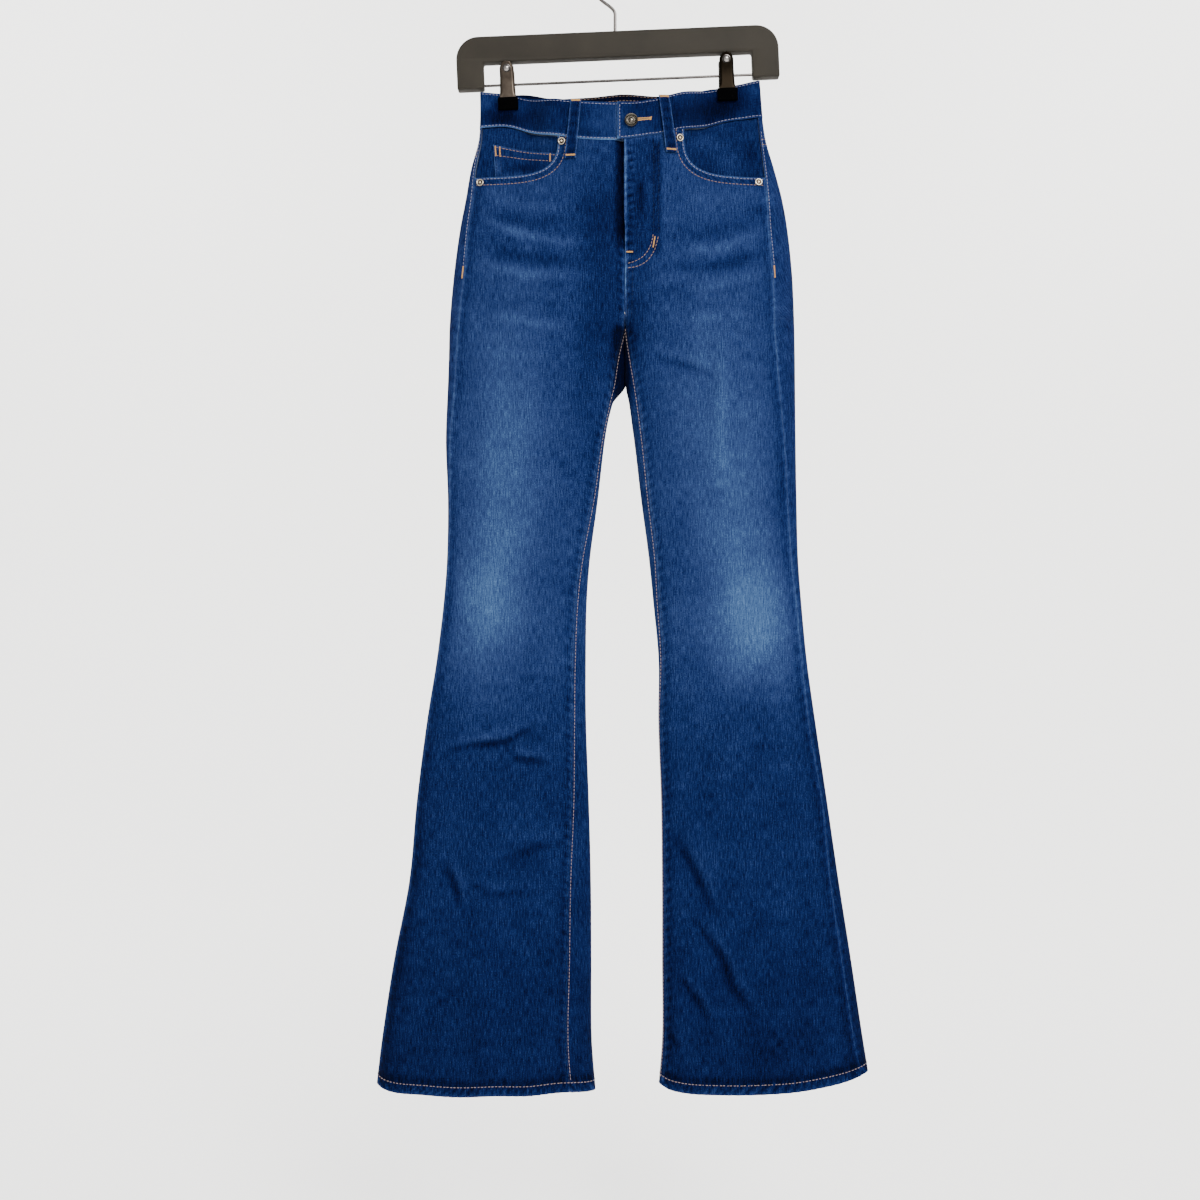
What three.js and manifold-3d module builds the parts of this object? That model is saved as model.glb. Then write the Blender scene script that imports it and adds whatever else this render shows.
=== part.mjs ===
// Flared five-pocket jeans held at the waistband by the two clips of a trouser hanger.
// Millimetres, +Z up, the front faces -Y, and +X is on the right of someone who looks at the front.
// The origin is the inner top of the hook, where a rail touches it.
// "left" and "right" in the names are the wearer's, so the right leg lies at -X.
import * as THREE from "three";
import { mergeVertices } from "three/addons/utils/BufferGeometryUtils.js";
import Module from "manifold-3d";

const wasm = await Module();
wasm.setup();

// A table's rows as objects that name each column.
function named(columns, rows) {
  return rows.map((row) => Object.fromEntries(columns.map((column, i) => [column, row[i]])));
}

// Cloth
const DENIM = 1.5;
const BAND_WALL = 2.3;
const BAND_PROUD = 0.4;
const FACING_WALL = 1.1;
const FACING_DEPTH = 4;
const COIN_DEPTH = 2.1;
const GAP = 0.3;
const HEM_HEIGHT = 11;
const HEM_EXTRA = 1.5;
const CENTRE_X = 11;

// Heights on the garment
const CROTCH_Z = -412;
const LEGS_PART_Z = -474;
const LEGS_APART_Z = -516;
const HIP_MERGE_Z = -295;
const FLY_END_Z = -322;
const HEM_Z = -1288;

// Hanger
const HANGER_TILT = THREE.MathUtils.degToRad(2.42);
const HANGER_TOP = { x: 1.6, z: -74.5 };
const BAR = { width: 370, height: 30, leg: 31, drop: 60, depth: 14, corner: 26 };
const ROD = { radius: 1.5, below: 55 };
const CLIP_X = { right: -122.5, left: 129 };
const CLIP = { width: 18, padWidth: 23, padTop: -16.2, padBottom: -30.5, padDepth: 4.6, pinch: 2.9 };
const PINCH = { flat: 15, side: 42, lowSide: 80, from: -172, fade: 115 };
const HOOK = { radius: 1.85, arc: 23.5 };

// Width of the garment by height. "Out" and "In" are the silhouette of each leg, and "Outseam" and
// "Inseam" say how far in from it the seam lies on the front. Above the crotch the two legs meet at
// the centre plane.
const SECTION_COLUMNS = ["z", "rightOut", "rightIn", "rightOutseam", "rightInseam",
  "leftOut", "leftIn", "leftOutseam", "leftInseam"];
const SECTIONS = named(SECTION_COLUMNS, [
  [-120, -155.0, 10.8, 2, 0, 165.0, 11.2, 6, 0],
  [-198, -156.5, 10.8, 3, 0, 173.0, 11.2, 7, 0],
  [-233, -165.5, 10.8, 6, 0, 183.0, 11.2, 13, 0],
  [-267, -171.5, 10.8, 9, 0, 192.0, 11.2, 19, 0],
  [-301, -178.0, 10.8, 11, 0, 198.0, 11.2, 23, 0],
  [-353, -185.0, 10.8, 13, 0, 203.5, 11.2, 24, 0],
  [-412, -190.0, 10.8, 12, 0, 206.0, 11.2, 25, 1],
  [-449, -191.0, 3.5, 10, 1, 206.7, 11.6, 23, 6],
  [-485, -192.3, -1.5, 9, 2, 207.0, 13.8, 20, 10],
  [-543, -194.4, -11.5, 6, 4, 207.6, 21.8, 15, 10],
  [-612, -192.1, -19.6, 3, 6, 208.7, 30.0, 12, 9],
  [-681, -193.2, -28.8, 2, 10, 210.5, 39.1, 9, 8],
  [-727, -196.7, -32.2, 2, 12, 213.9, 43.7, 7, 6],
  [-796, -205.0, -33.4, 2, 14, 220.5, 50.0, 7, 4],
  [-865, -216.0, -33.2, 2, 15, 230.0, 49.8, 9, 2],
  [-957, -227.7, -30.0, 2, 19, 243.6, 52.9, 7, 2],
  [-1049, -236.4, -27.6, 2, 25, 257.0, 54.0, 11, 2],
  [-1141, -254.0, -27.0, 2, 27, 271.4, 54.1, 12, 2],
  [-1233, -268.0, -26.5, 2, 29, 285.2, 54.1, 12, 2],
  [-1292, -275.0, -22.0, 2, 29, 295.0, 49.5, 10, 2],
]);

// How far the cloth stands off the middle plane, to the front and to the back.
const DEPTHS = [
  { z: -120, front: 24, back: 24 },
  { z: -198, front: 26, back: 26 },
  { z: -260, front: 27, back: 31 },
  { z: -340, front: 27, back: 35 },
  { z: -412, front: 26, back: 34 },
  { z: -520, front: 23, back: 27 },
  { z: -690, front: 18, back: 20 },
  { z: -860, front: 17, back: 18 },
  { z: -1010, front: 19, back: 20 },
  { z: -1292, front: 24, back: 24 },
];

// The waistband's top edge and its seam along the front and the back. The front sags between the clips.
const WAIST_FRONT = [
  { x: -160, top: -144, seam: -186 },
  { x: -123, top: -147, seam: -184 },
  { x: -84, top: -156, seam: -196 },
  { x: -43, top: -161, seam: -204 },
  { x: 0, top: -163.5, seam: -206 },
  { x: 29, top: -163, seam: -203 },
  { x: 64, top: -154, seam: -196 },
  { x: 94, top: -146, seam: -188 },
  { x: 127, top: -138.5, seam: -178 },
  { x: 172, top: -130, seam: -173 },
];
const WAIST_BACK = [
  { x: -160, top: -144, seam: -186 },
  { x: -123, top: -146, seam: -185 },
  { x: 11, top: -137, seam: -178 },
  { x: 127, top: -137, seam: -177 },
  { x: 172, top: -130, seam: -173 },
];

// The hem's lower edge, worn into shallow scallops.
const HEM_EDGE = [
  { x: -276, drop: 8 },
  { x: -262, drop: 2 },
  { x: -216, drop: -1 },
  { x: -178, drop: -2.5 },
  { x: -140, drop: -1 },
  { x: -100, drop: -2 },
  { x: -66, drop: 1 },
  { x: -20, drop: 0 },
  { x: 49, drop: 7 },
  { x: 63, drop: 2 },
  { x: 120, drop: -1 },
  { x: 187, drop: 2 },
  { x: 235, drop: 7 },
  { x: 266, drop: 13 },
  { x: 296, drop: 22 },
];

// The largest folds of the front: a line from its start to its end, its depth inward (a ridge is
// negative) and its half width.
const FOLDS = [
  { leg: "right", x0: -188, z0: -905, x1: -92, z1: -876, depth: 4.0, width: 13 },
  { leg: "right", x0: -124, z0: -902, x1: -76, z1: -914, depth: 3.5, width: 11 },
  { leg: "right", x0: -191, z0: -1032, x1: -165, z1: -1078, depth: 4.5, width: 13 },
  { leg: "right", x0: -134, z0: -1029, x1: -62, z1: -1008, depth: 3.0, width: 14 },
  { leg: "right", x0: -150, z0: -1100, x1: -150, z1: -1290, depth: -4.0, width: 26 },
  { leg: "left", x0: 70, z0: -998, x1: 112, z1: -1083, depth: 4.5, width: 13 },
  { leg: "left", x0: 90, z0: -1096, x1: 160, z1: -1205, depth: 4.0, width: 14 },
  { leg: "left", x0: 73, z0: -1162, x1: 108, z1: -1214, depth: 3.5, width: 11 },
  { leg: "left", x0: 47, z0: -448, x1: 110, z1: -468, depth: 3.0, width: 12 },
  { leg: "left", x0: 123, z0: -425, x1: 121, z1: -600, depth: -3.0, width: 15 },
  { leg: "left", x0: 190, z0: -1100, x1: 196, z1: -1290, depth: -4.0, width: 28 },
];
const BACK_FOLDS = [
  { leg: "right", x0: -160, z0: -436, x1: -30, z1: -462, depth: 4.0, width: 14 },
  { leg: "right", x0: -185, z0: -905, x1: -100, z1: -890, depth: 3.5, width: 13 },
  { leg: "right", x0: -160, z0: -1070, x1: -90, z1: -1030, depth: 3.5, width: 14 },
  { leg: "left", x0: 50, z0: -458, x1: 175, z1: -436, depth: 4.0, width: 14 },
  { leg: "left", x0: 80, z0: -900, x1: 175, z1: -925, depth: 3.5, width: 13 },
  { leg: "left", x0: 110, z0: -1050, x1: 170, z1: -1110, depth: 4.0, width: 14 },
];

// Front pocket mouths: a rounded quarter from under the waistband to the side seam.
const MOUTHS = {
  right: { x: -155, z: -198, reach: 90, drop: 46.5, roundness: 3.6 },
  left: { x: 165, z: -196, reach: -87, drop: 49, roundness: 3.2 },
};
const MOUTH_REACH = 240;
const FACING = { past: 14, top: -190, foot: -266 };
const COIN_POCKET = { left: -140, lean: 4, right: -66, topLeft: -204, topRight: -220, foot: -256 };
const FLY = { edgeX: 10, underlap: 6, lift: 2.2, flatTo: 38, endX: 46, shieldFrom: 2, shieldTo: 44 };
const BAND_OVERLAP = { overX: 2.4, underX: 36, lift: BAND_WALL + GAP + 0.1, flatTo: 37, endX: 47 };
const BELT_LOOP = { width: 12, wall: 1.6, arch: 2.6, above: 1, below: 24 };
const BELT_LOOPS = {
  belt_loop_front_right: { face: "front", topX: -44.3, bottomX: -50.6 },
  belt_loop_front_left: { face: "front", topX: 55, bottomX: 63.4 },
  belt_loop_side_right: { face: "back", topX: -72, bottomX: -73 },
  belt_loop_side_left: { face: "back", topX: 84, bottomX: 86 },
  belt_loop_back: { face: "back", topX: 11, bottomX: 11 },
};
const RIVET = { radius: 4.4, height: 1.4 };
const RIVETS = {
  rivet_right_upper: { side: "right", x: -60.7, z: -207 },
  rivet_right_lower: { side: "right", x: -154, z: -250.5 },
  rivet_left_upper: { side: "left", x: 73.2, z: -203 },
  rivet_left_lower: { side: "left", x: 163.5, z: -250.5 },
};
const BUTTON = { radius: 7.5, height: 3.2, x: 18, z: -185.5 };
const BACK_POCKET = { width: 138, narrow: 120, side: 125, point: 152, top: -262, offset: 86 };
const YOKE = { side: 34, centre: 66 };

const COLOURS = {
  denim: "#2f4f7d",
  denimDark: "#14284f",
  copper: "#a8744c",
  brass: "#b49a68",
  bar: "#4b4740",
  steel: "#8f8a84",
  clipMetal: "#6b5f55",
  pad: "#0b0b0d",
};

// Numbers and tables

const clamp = (value, low, high) => Math.min(high, Math.max(low, value));
const mix = (a, b, t) => a + (b - a) * t;

function smooth(t) {
  const s = clamp(t, 0, 1);
  return s * s * (3 - 2 * s);
}

// A smooth curve through one column of a table: each stretch is a cubic whose slope at a row is the
// mean slope of the stretches beside it.
function tableCurve(rows, by, column) {
  const sorted = [...rows].sort((a, b) => a[by] - b[by]);
  const at = sorted.map((row) => row[by]);
  const value = sorted.map((row) => row[column]);
  const last = at.length - 1;
  const rise = (i) => (value[i + 1] - value[i]) / (at[i + 1] - at[i]);
  const slope = at.map((_, i) => {
    if (i === 0) return rise(0);
    if (i === last) return rise(last - 1);
    return (rise(i - 1) + rise(i)) / 2;
  });
  return (where) => {
    const x = clamp(where, at[0], at[last]);
    let i = 0;
    while (i < last - 1 && x > at[i + 1]) i += 1;
    const step = at[i + 1] - at[i];
    const t = (x - at[i]) / step;
    const start = value[i] * (1 + 2 * t) * (1 - t) ** 2 + slope[i] * step * t * (1 - t) ** 2;
    const end = value[i + 1] * t * t * (3 - 2 * t) - slope[i + 1] * step * t * t * (1 - t);
    return start + end;
  };
}

const sectionColumn = {};
for (const name of SECTION_COLUMNS) sectionColumn[name] = tableCurve(SECTIONS, "z", name);
const frontDepth = tableCurve(DEPTHS, "z", "front");
const backDepth = tableCurve(DEPTHS, "z", "back");
const waistCurves = (column) => ({
  front: tableCurve(WAIST_FRONT, "x", column),
  back: tableCurve(WAIST_BACK, "x", column),
});
const waistTop = waistCurves("top");
const waistSeam = waistCurves("seam");
const hemDrop = tableCurve(HEM_EDGE, "x", "drop");

// The cloth surface. Each half of the garment is a closed flattened tube. Its angle is 0 at the end
// by the other leg, a quarter turn at the middle of the front, a half turn at the outer end, and
// three quarters at the middle of the back.

const QUARTER = Math.PI / 2;
const FLATNESS = 0.75;

function section(side, z) {
  const outer = sectionColumn[`${side}Out`](z);
  const apart = smooth((HIP_MERGE_Z - z) / (HIP_MERGE_Z - CROTCH_Z));
  const inLeg = sectionColumn[`${side}In`](z);
  const inner = z > CROTCH_Z ? mix(2 * CENTRE_X - outer, inLeg, apart) : inLeg;
  const toCentre = sectionColumn[`${side}In`](CROTCH_Z);
  const parting = smooth((LEGS_PART_Z - z) / (LEGS_PART_Z - LEGS_APART_Z));
  const innerBack = z > CROTCH_Z ? inner : mix(toCentre, inner, parting);
  const middle = (outer + inner) / 2;
  return {
    middle,
    half: Math.abs(inner - outer) / 2,
    halfBack: Math.abs(innerBack - middle),
    sign: side === "right" ? 1 : -1,
  };
}

// How much a clip closes the two layers at this place: fully between its pads, then less and less.
function pinch(x, z) {
  const below = smooth((PINCH.from - z) / PINCH.fade);
  const reach = mix(PINCH.side, PINCH.lowSide, below);
  const near = (clip) => 1 - smooth((Math.abs(x - clip) - PINCH.flat) / reach);
  return (1 - below) * Math.max(near(CLIP_X.right), near(CLIP_X.left));
}

// The depth of the folds at a place: each is a soft trough along its line, deepest at the middle.
function foldDepth(folds, side, x, z) {
  let total = 0;
  for (const fold of folds) {
    if (fold.leg !== side) continue;
    const dx = fold.x1 - fold.x0;
    const dz = fold.z1 - fold.z0;
    const along = ((x - fold.x0) * dx + (z - fold.z0) * dz) / (dx * dx + dz * dz);
    const t = clamp(along, 0, 1);
    const far = Math.hypot(x - fold.x0 - dx * t, z - fold.z0 - dz * t) / fold.width;
    total += fold.depth * Math.exp(-far * far) * (0.35 + 0.65 * Math.sin(Math.PI * t));
  }
  return total;
}

// The left front lies over the right one along the fly, as far as the curved stitching.
function flyLift(side, angle, x, z) {
  if (side !== "left" || angle > Math.PI) return 0;
  const across = 1 - smooth((x - FLY.flatTo) / (FLY.endX - FLY.flatTo));
  return FLY.lift * across * smooth((z - (FLY_END_Z - 24)) / 18);
}

// A point of the cloth's outer face. Below the crotch the backs reach further in than the fronts,
// and meet behind them as far down as the legs part.
function clothPoint(side, angle, z) {
  const { middle, half, halfBack, sign } = section(side, z);
  const turn = ((angle % (2 * Math.PI)) + 2 * Math.PI) % (2 * Math.PI);
  const past = turn > Math.PI ? turn - 2 * Math.PI : turn;
  const seamAngle = inseamAngle(side, z);
  const toBack = smooth((seamAngle - past) / (seamAngle + 0.08));
  const reach = Math.abs(past) < QUARTER ? mix(half, halfBack, toBack) : half;
  const x = middle + sign * reach * Math.cos(turn);
  const bow = Math.abs(Math.sin(turn)) ** FLATNESS;
  const front = turn < Math.PI;
  const full = (front ? frontDepth(z) : backDepth(z)) * bow;
  const closed = Math.min(full, CLIP.pinch);
  let depth = mix(full, closed, pinch(x, z));
  const ends = smooth(bow / 0.8);
  depth -= foldDepth(front ? FOLDS : BACK_FOLDS, side, x, z) * ends;
  return new THREE.Vector3(x, front ? -depth : depth, z);
}

function clothNormal(side, angle, z) {
  const across = clothPoint(side, angle + 0.02, z).sub(clothPoint(side, angle - 0.02, z));
  const up = clothPoint(side, angle, z + 1).sub(clothPoint(side, angle, z - 1));
  const normal = across.cross(up).normalize();
  return side === "left" ? normal : normal.negate();
}

// A point and normal of the cloth's outer face, moved out by lift.
function onCloth(side, angle, z, lift = 0) {
  const point = clothPoint(side, angle, z);
  const normal = clothNormal(side, angle, z);
  const total = lift + flyLift(side, angle, point.x, z);
  return { point: point.addScaledVector(normal, total), normal };
}

function frontAngle(side, x, z) {
  const { middle, half, sign } = section(side, z);
  return Math.acos(clamp((sign * (x - middle)) / half, -1, 1));
}

function inseamAngle(side, z) {
  const { middle, half, sign } = section(side, z);
  const inset = z > CROTCH_Z ? 0 : sectionColumn[`${side}Inseam`](z);
  const x = middle + sign * (half - inset);
  return Math.acos(clamp((sign * (x - middle)) / half, -1, 1));
}

const onFront = (side, x, z, lift) => onCloth(side, frontAngle(side, x, z), z, lift);
const onBack = (side, x, z, lift) => onCloth(side, 2 * Math.PI - frontAngle(side, x, z), z, lift);
const sideOf = (x) => (x < CENTRE_X ? "right" : "left");

// The angle that lies the given distance along the cloth.
function stepAngle(side, angle, z, distance) {
  const rate = clothPoint(side, angle + 0.01, z).distanceTo(clothPoint(side, angle - 0.01, z)) / 0.02;
  return angle + distance / Math.max(rate, 4);
}

// The angles at which the panels of one half end.
function outseamAngle(side, z) {
  const out = sectionColumn[`${side}Out`](z);
  const inset = sectionColumn[`${side}Outseam`](z);
  return frontAngle(side, out + (side === "right" ? inset : -inset), z);
}

function centreFrontX(side, z) {
  const fly = smooth((z - (FLY_END_Z + 14)) / 20);
  if (side === "right") return CENTRE_X - GAP / 2 + FLY.underlap * fly;
  return mix(CENTRE_X + GAP / 2, FLY.edgeX, fly);
}

function innerFrontAngle(side, z) {
  if (z > CROTCH_Z) return frontAngle(side, centreFrontX(side, z), z);
  return stepAngle(side, inseamAngle(side, z), z, GAP / 2);
}

function innerBackAngle(side, z) {
  if (z > CROTCH_Z) {
    const x = CENTRE_X + (side === "right" ? -GAP / 2 : GAP / 2);
    return 2 * Math.PI - frontAngle(side, x, z);
  }
  return 2 * Math.PI + stepAngle(side, inseamAngle(side, z), z, -GAP / 2);
}

// Meshes

// A closed sheet of cloth from a grid of outer points, with its inner face set in by the thickness.
function sheet(rows, columns, outerAt, thickness) {
  const wide = columns + 1;
  const count = (rows + 1) * wide;
  const positions = new Float32Array(count * 6);
  for (let row = 0; row <= rows; row += 1) {
    for (let column = 0; column <= columns; column += 1) {
      const { point, normal } = outerAt(column / columns, row / rows);
      const wall = typeof thickness === "function" ? thickness(point) : thickness;
      const index = row * wide + column;
      point.toArray(positions, index * 3);
      point.clone().addScaledVector(normal, -wall).toArray(positions, (count + index) * 3);
    }
  }
  const faces = [];
  const quad = (a, b, c, d) => faces.push(a, b, c, a, c, d);
  for (let row = 0; row < rows; row += 1) {
    for (let column = 0; column < columns; column += 1) {
      const a = row * wide + column;
      quad(a, a + 1, a + wide + 1, a + wide);
      quad(count + a + wide, count + a + wide + 1, count + a + 1, count + a);
    }
  }
  const rim = [];
  for (let column = 0; column < columns; column += 1) rim.push(column);
  for (let row = 0; row < rows; row += 1) rim.push(row * wide + columns);
  for (let column = columns; column > 0; column -= 1) rim.push(rows * wide + column);
  for (let row = rows; row > 0; row -= 1) rim.push(row * wide);
  rim.forEach((a, i) => {
    const b = rim[(i + 1) % rim.length];
    quad(b, a, count + a, count + b);
  });
  return outwards(positions, faces);
}

// A geometry whose faces point out: the triangles are turned where the volume comes out negative.
function outwards(positions, faces) {
  const corner = (i) => new THREE.Vector3().fromArray(positions, i * 3);
  let volume = 0;
  for (let i = 0; i < faces.length; i += 3) {
    volume += corner(faces[i]).dot(corner(faces[i + 1]).cross(corner(faces[i + 2])));
  }
  if (volume < 0) faces.reverse();
  const geometry = new THREE.BufferGeometry();
  geometry.setAttribute("position", new THREE.BufferAttribute(positions, 3));
  geometry.setIndex(faces);
  return geometry;
}

function toManifold(geometry) {
  const bare = geometry.clone();
  bare.deleteAttribute("normal");
  bare.deleteAttribute("uv");
  const merged = mergeVertices(bare, 1e-4);
  const vertProperties = new Float32Array(merged.attributes.position.array);
  const triVerts = new Uint32Array(merged.index.array);
  return new wasm.Manifold(new wasm.Mesh({ numProp: 3, vertProperties, triVerts }));
}

function fromManifold(solid) {
  const { vertProperties, triVerts } = solid.getMesh();
  const geometry = new THREE.BufferGeometry();
  geometry.setAttribute("position", new THREE.BufferAttribute(new Float32Array(vertProperties), 3));
  geometry.setIndex([...triVerts]);
  return geometry;
}

const jeans = new THREE.Group();

function addPiece(name, geometry, colour, finish = {}) {
  const material = new THREE.MeshStandardMaterial({ color: colour, roughness: 0.85, ...finish });
  const mesh = new THREE.Mesh(geometry, material);
  mesh.name = name;
  jeans.add(mesh);
  return mesh;
}

// The levels that the panels' rows share below the yokes. Above them the rows divide the way up to
// the seam evenly.
const LEVELS = [-247, -268, -286, -306, -326, -346, -368, -390, -406, -418, -434, -456, -484, -518, -556,
  -596, -636, -672, -702, -732, -764, -796, -828, -858, -886, -912, -940, -970, -1000, -1028, -1056, -1086,
  -1120, -1156, -1194, -1232, -1262, -1274, HEM_Z];

function hemLift(z, x) {
  return hemDrop(x) * smooth((HEM_Z + 80 - z) / 80);
}

function hemThickness(point) {
  const above = point.z - (HEM_Z + hemDrop(point.x));
  return DENIM + HEM_EXTRA * (1 - smooth((above - HEM_HEIGHT) / 4));
}

// The height of a row at x, where the rows above the shared levels start from the panel's top.
function rowHeight(row, upper, top, x) {
  const z = row < upper ? mix(top, LEVELS[0], row / upper) : LEVELS[row - upper];
  return z + hemLift(z, x);
}

const panelOutAngle = (side, z) => stepAngle(side, outseamAngle(side, z), z, -GAP / 2);
const backStartAngle = (side, z) => stepAngle(side, outseamAngle(side, z), z, GAP / 2);

// The height of a curve of the waist where the line of a constant share meets it, found by steps.
function waistHeight(curves, side, angleAt, below = () => 0) {
  let z = -190;
  for (let i = 0; i < 4; i += 1) {
    const angle = angleAt(z);
    const { x } = clothPoint(side, angle, z);
    z = mix(curves.back(x), curves.front(x), smooth(0.5 + 2 * Math.sin(angle))) - below(x, z);
  }
  return z;
}

// A panel of cloth between two edges, from the curve of its top down to the hem.
function panel(side, columns, upper, angleAt, topAt) {
  const rows = LEVELS.length - 1 + upper;
  return sheet(rows, columns, (u, v) => {
    const row = Math.round(v * rows);
    const guess = rowHeight(row, upper, -200, CENTRE_X);
    const { x } = clothPoint(side, angleAt(u, guess), guess);
    const z = rowHeight(row, upper, topAt(u) - GAP, x);
    return onCloth(side, angleAt(u, z), z);
  }, hemThickness);
}

function frontPanel(side) {
  const angleAt = (u, z) => {
    const inner = Math.cos(innerFrontAngle(side, z));
    return Math.acos(mix(inner, Math.cos(panelOutAngle(side, z)), u));
  };
  const topAt = (u) => waistHeight(waistSeam, side, (z) => angleAt(u, z));
  return panel(side, 11, 4, angleAt, topAt);
}

// The yoke's lower edge falls from the side seam to the centre back.
function yokeDrop(side) {
  return (x, z) => {
    const outer = sectionColumn[`${side}Out`](z);
    const inward = clamp((x - outer) / (CENTRE_X - outer), 0, 1);
    return mix(YOKE.side, YOKE.centre, inward);
  };
}

// More columns lie round the panel's two ends than along its face.
const backSpread = (u) => u - 0.045 * Math.sin(4 * Math.PI * u);
const backAngle = (side, u, z) => mix(backStartAngle(side, z), innerBackAngle(side, z), backSpread(u));

function backPanel(side) {
  const angleAt = (u, z) => backAngle(side, u, z);
  const topAt = (u) => waistHeight(waistSeam, side, (z) => angleAt(u, z), yokeDrop(side));
  return panel(side, 14, 1, angleAt, topAt);
}

function yoke(side) {
  return sheet(3, 14, (u, v) => {
    const angleAt = (z) => backAngle(side, u, z);
    const top = waistHeight(waistSeam, side, angleAt) - GAP;
    const bottom = waistHeight(waistSeam, side, angleAt, yokeDrop(side));
    const z = mix(top, bottom, v);
    return onCloth(side, angleAt(z), z);
  }, DENIM);
}

// The front pocket's mouth is cut out of the front panel, and a facing and a coin pocket show in it.

function mouthCurve(side, share) {
  const { x, z, reach, drop, roundness } = MOUTHS[side];
  const angle = share * QUARTER;
  const across = Math.cos(angle) ** (2 / roundness);
  const down = Math.sin(angle) ** (2 / roundness);
  return new THREE.Vector2(x + reach * across, z - drop * down);
}

function mouthCutter(side) {
  const outside = side === "right" ? -MOUTH_REACH : MOUTH_REACH;
  const steps = 12;
  const outline = [];
  for (let i = 0; i <= steps; i += 1) outline.push(mouthCurve(side, i / steps));
  outline.push(new THREE.Vector2(outside, outline[steps].y + 2));
  outline.push(new THREE.Vector2(outside, -140), new THREE.Vector2(outline[0].x, -140));
  const prism = new THREE.ExtrudeGeometry(new THREE.Shape(outline), { depth: 90, bevelEnabled: false });
  prism.rotateX(Math.PI / 2);
  return toManifold(prism);
}

function cutFront(side) {
  return fromManifold(toManifold(frontPanel(side)).subtract(mouthCutter(side)));
}

// The facing runs from the side seam to a little past the mouth, sunk behind the front panel.
function pocketFacing(side) {
  const toward = side === "right" ? 1 : -1;
  const far = mouthCurve(side, 0).x + toward * FACING.past;
  const edgeAt = (z) => clothPoint(side, outseamAngle(side, z), z).x + toward * 2 * GAP;
  return sheet(6, 10, (u, v) => {
    const rough = mix(edgeAt(mix(FACING.top, FACING.foot, v)), far, u);
    const z = mix(waistSeam.front(rough) - 2 * GAP, FACING.foot, v);
    const edge = edgeAt(z);
    const at = mix(edge, far, u);
    const free = smooth(Math.abs(at - edge) / 14) * (1 - smooth((pinch(at, z) - 0.8) / 0.15));
    const depth = mix(DENIM + GAP, FACING_DEPTH, free);
    return onFront(side, at, z, -depth);
  }, FACING_WALL);
}

function coinPocket() {
  return sheet(5, 6, (u, v) => {
    const { left, lean, right, topLeft, topRight, foot } = COIN_POCKET;
    const x = mix(left + lean * v, right, u);
    return onFront("right", x, mix(mix(topLeft, topRight, u), foot, v), -COIN_DEPTH);
  }, FACING_WALL);
}

function flyShield() {
  return sheet(6, 4, (u, v) => {
    const x = mix(FLY.shieldFrom, FLY.shieldTo, u);
    const z = mix(waistSeam.front(x) - 1, FLY_END_Z - 4, v);
    return onFront("right", x, z, -DENIM - GAP);
  }, FACING_WALL);
}

// The waistband is one strip: its right end lies under its left end at the centre front.

function bandLift(side, angle, x) {
  if (side !== "left" || angle > Math.PI) return 0;
  const { lift, flatTo, endX } = BAND_OVERLAP;
  return lift * (1 - smooth((x - flatTo) / (endX - flatTo)));
}

// A point of the band. Its lift takes the place of the lift that the fly gives the front.
function onBand(side, angle, z, lift = 0) {
  const point = clothPoint(side, angle, z);
  const normal = clothNormal(side, angle, z);
  const total = BAND_PROUD + lift + bandLift(side, angle, point.x);
  return { point: point.addScaledVector(normal, total), normal };
}

function waistband() {
  const level = -180;
  const start = frontAngle("right", BAND_OVERLAP.underX, level);
  const end = frontAngle("left", BAND_OVERLAP.overX, level);
  const back = 3 * QUARTER;
  const rightTurn = back - start;
  const turn = rightTurn + back - end;
  return sheet(3, 52, (u, v) => {
    const gone = u * turn;
    const side = gone < rightTurn ? "right" : "left";
    const angle = gone < rightTurn ? start + gone : back - (gone - rightTurn);
    const top = waistHeight(waistTop, side, () => angle);
    const seam = waistHeight(waistSeam, side, () => angle);
    return onBand(side, angle, mix(seam, top, v));
  }, BAND_WALL);
}

// A belt loop is a strip that stands off the waistband between its two sewn ends.
function beltLoop({ face, topX, bottomX }) {
  return sheet(6, 2, (u, v) => {
    const across = (u - 0.5) * BELT_LOOP.width;
    const middleX = mix(topX, bottomX, v);
    const x = middleX + across;
    const side = sideOf(x);
    const z = mix(waistTop[face](topX) + BELT_LOOP.above, waistSeam[face](bottomX) - BELT_LOOP.below, v);
    const angle = face === "front" ? frontAngle(side, x, z) : 2 * Math.PI - frontAngle(side, x, z);
    const ground = BAND_PROUD + Math.max(bandLift(side, angle, x), flyLift(side, angle, x, z));
    const arch = BELT_LOOP.arch * Math.sqrt(Math.sin(Math.PI * v));
    const normal = clothNormal(side, angle, z);
    const lift = ground + 2 * GAP + BELT_LOOP.wall + arch;
    return { point: clothPoint(side, angle, z).addScaledVector(normal, lift), normal };
  }, BELT_LOOP.wall);
}

// A patch pocket with straight sides and a point at the foot.
function backPocket(side) {
  const out = side === "right" ? -1 : 1;
  return sheet(10, 10, (u, v) => {
    const across = (u - 0.5) * mix(BACK_POCKET.width, BACK_POCKET.narrow, v);
    const x = CENTRE_X + out * BACK_POCKET.offset + across;
    const inward = 1 - Math.abs(2 * u - 1);
    const length = mix(BACK_POCKET.side, BACK_POCKET.point, inward);
    const tilt = -out * across * 0.045;
    return onBack(side, x, BACK_POCKET.top + tilt - length * v, DENIM + GAP);
  }, DENIM);
}

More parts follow.
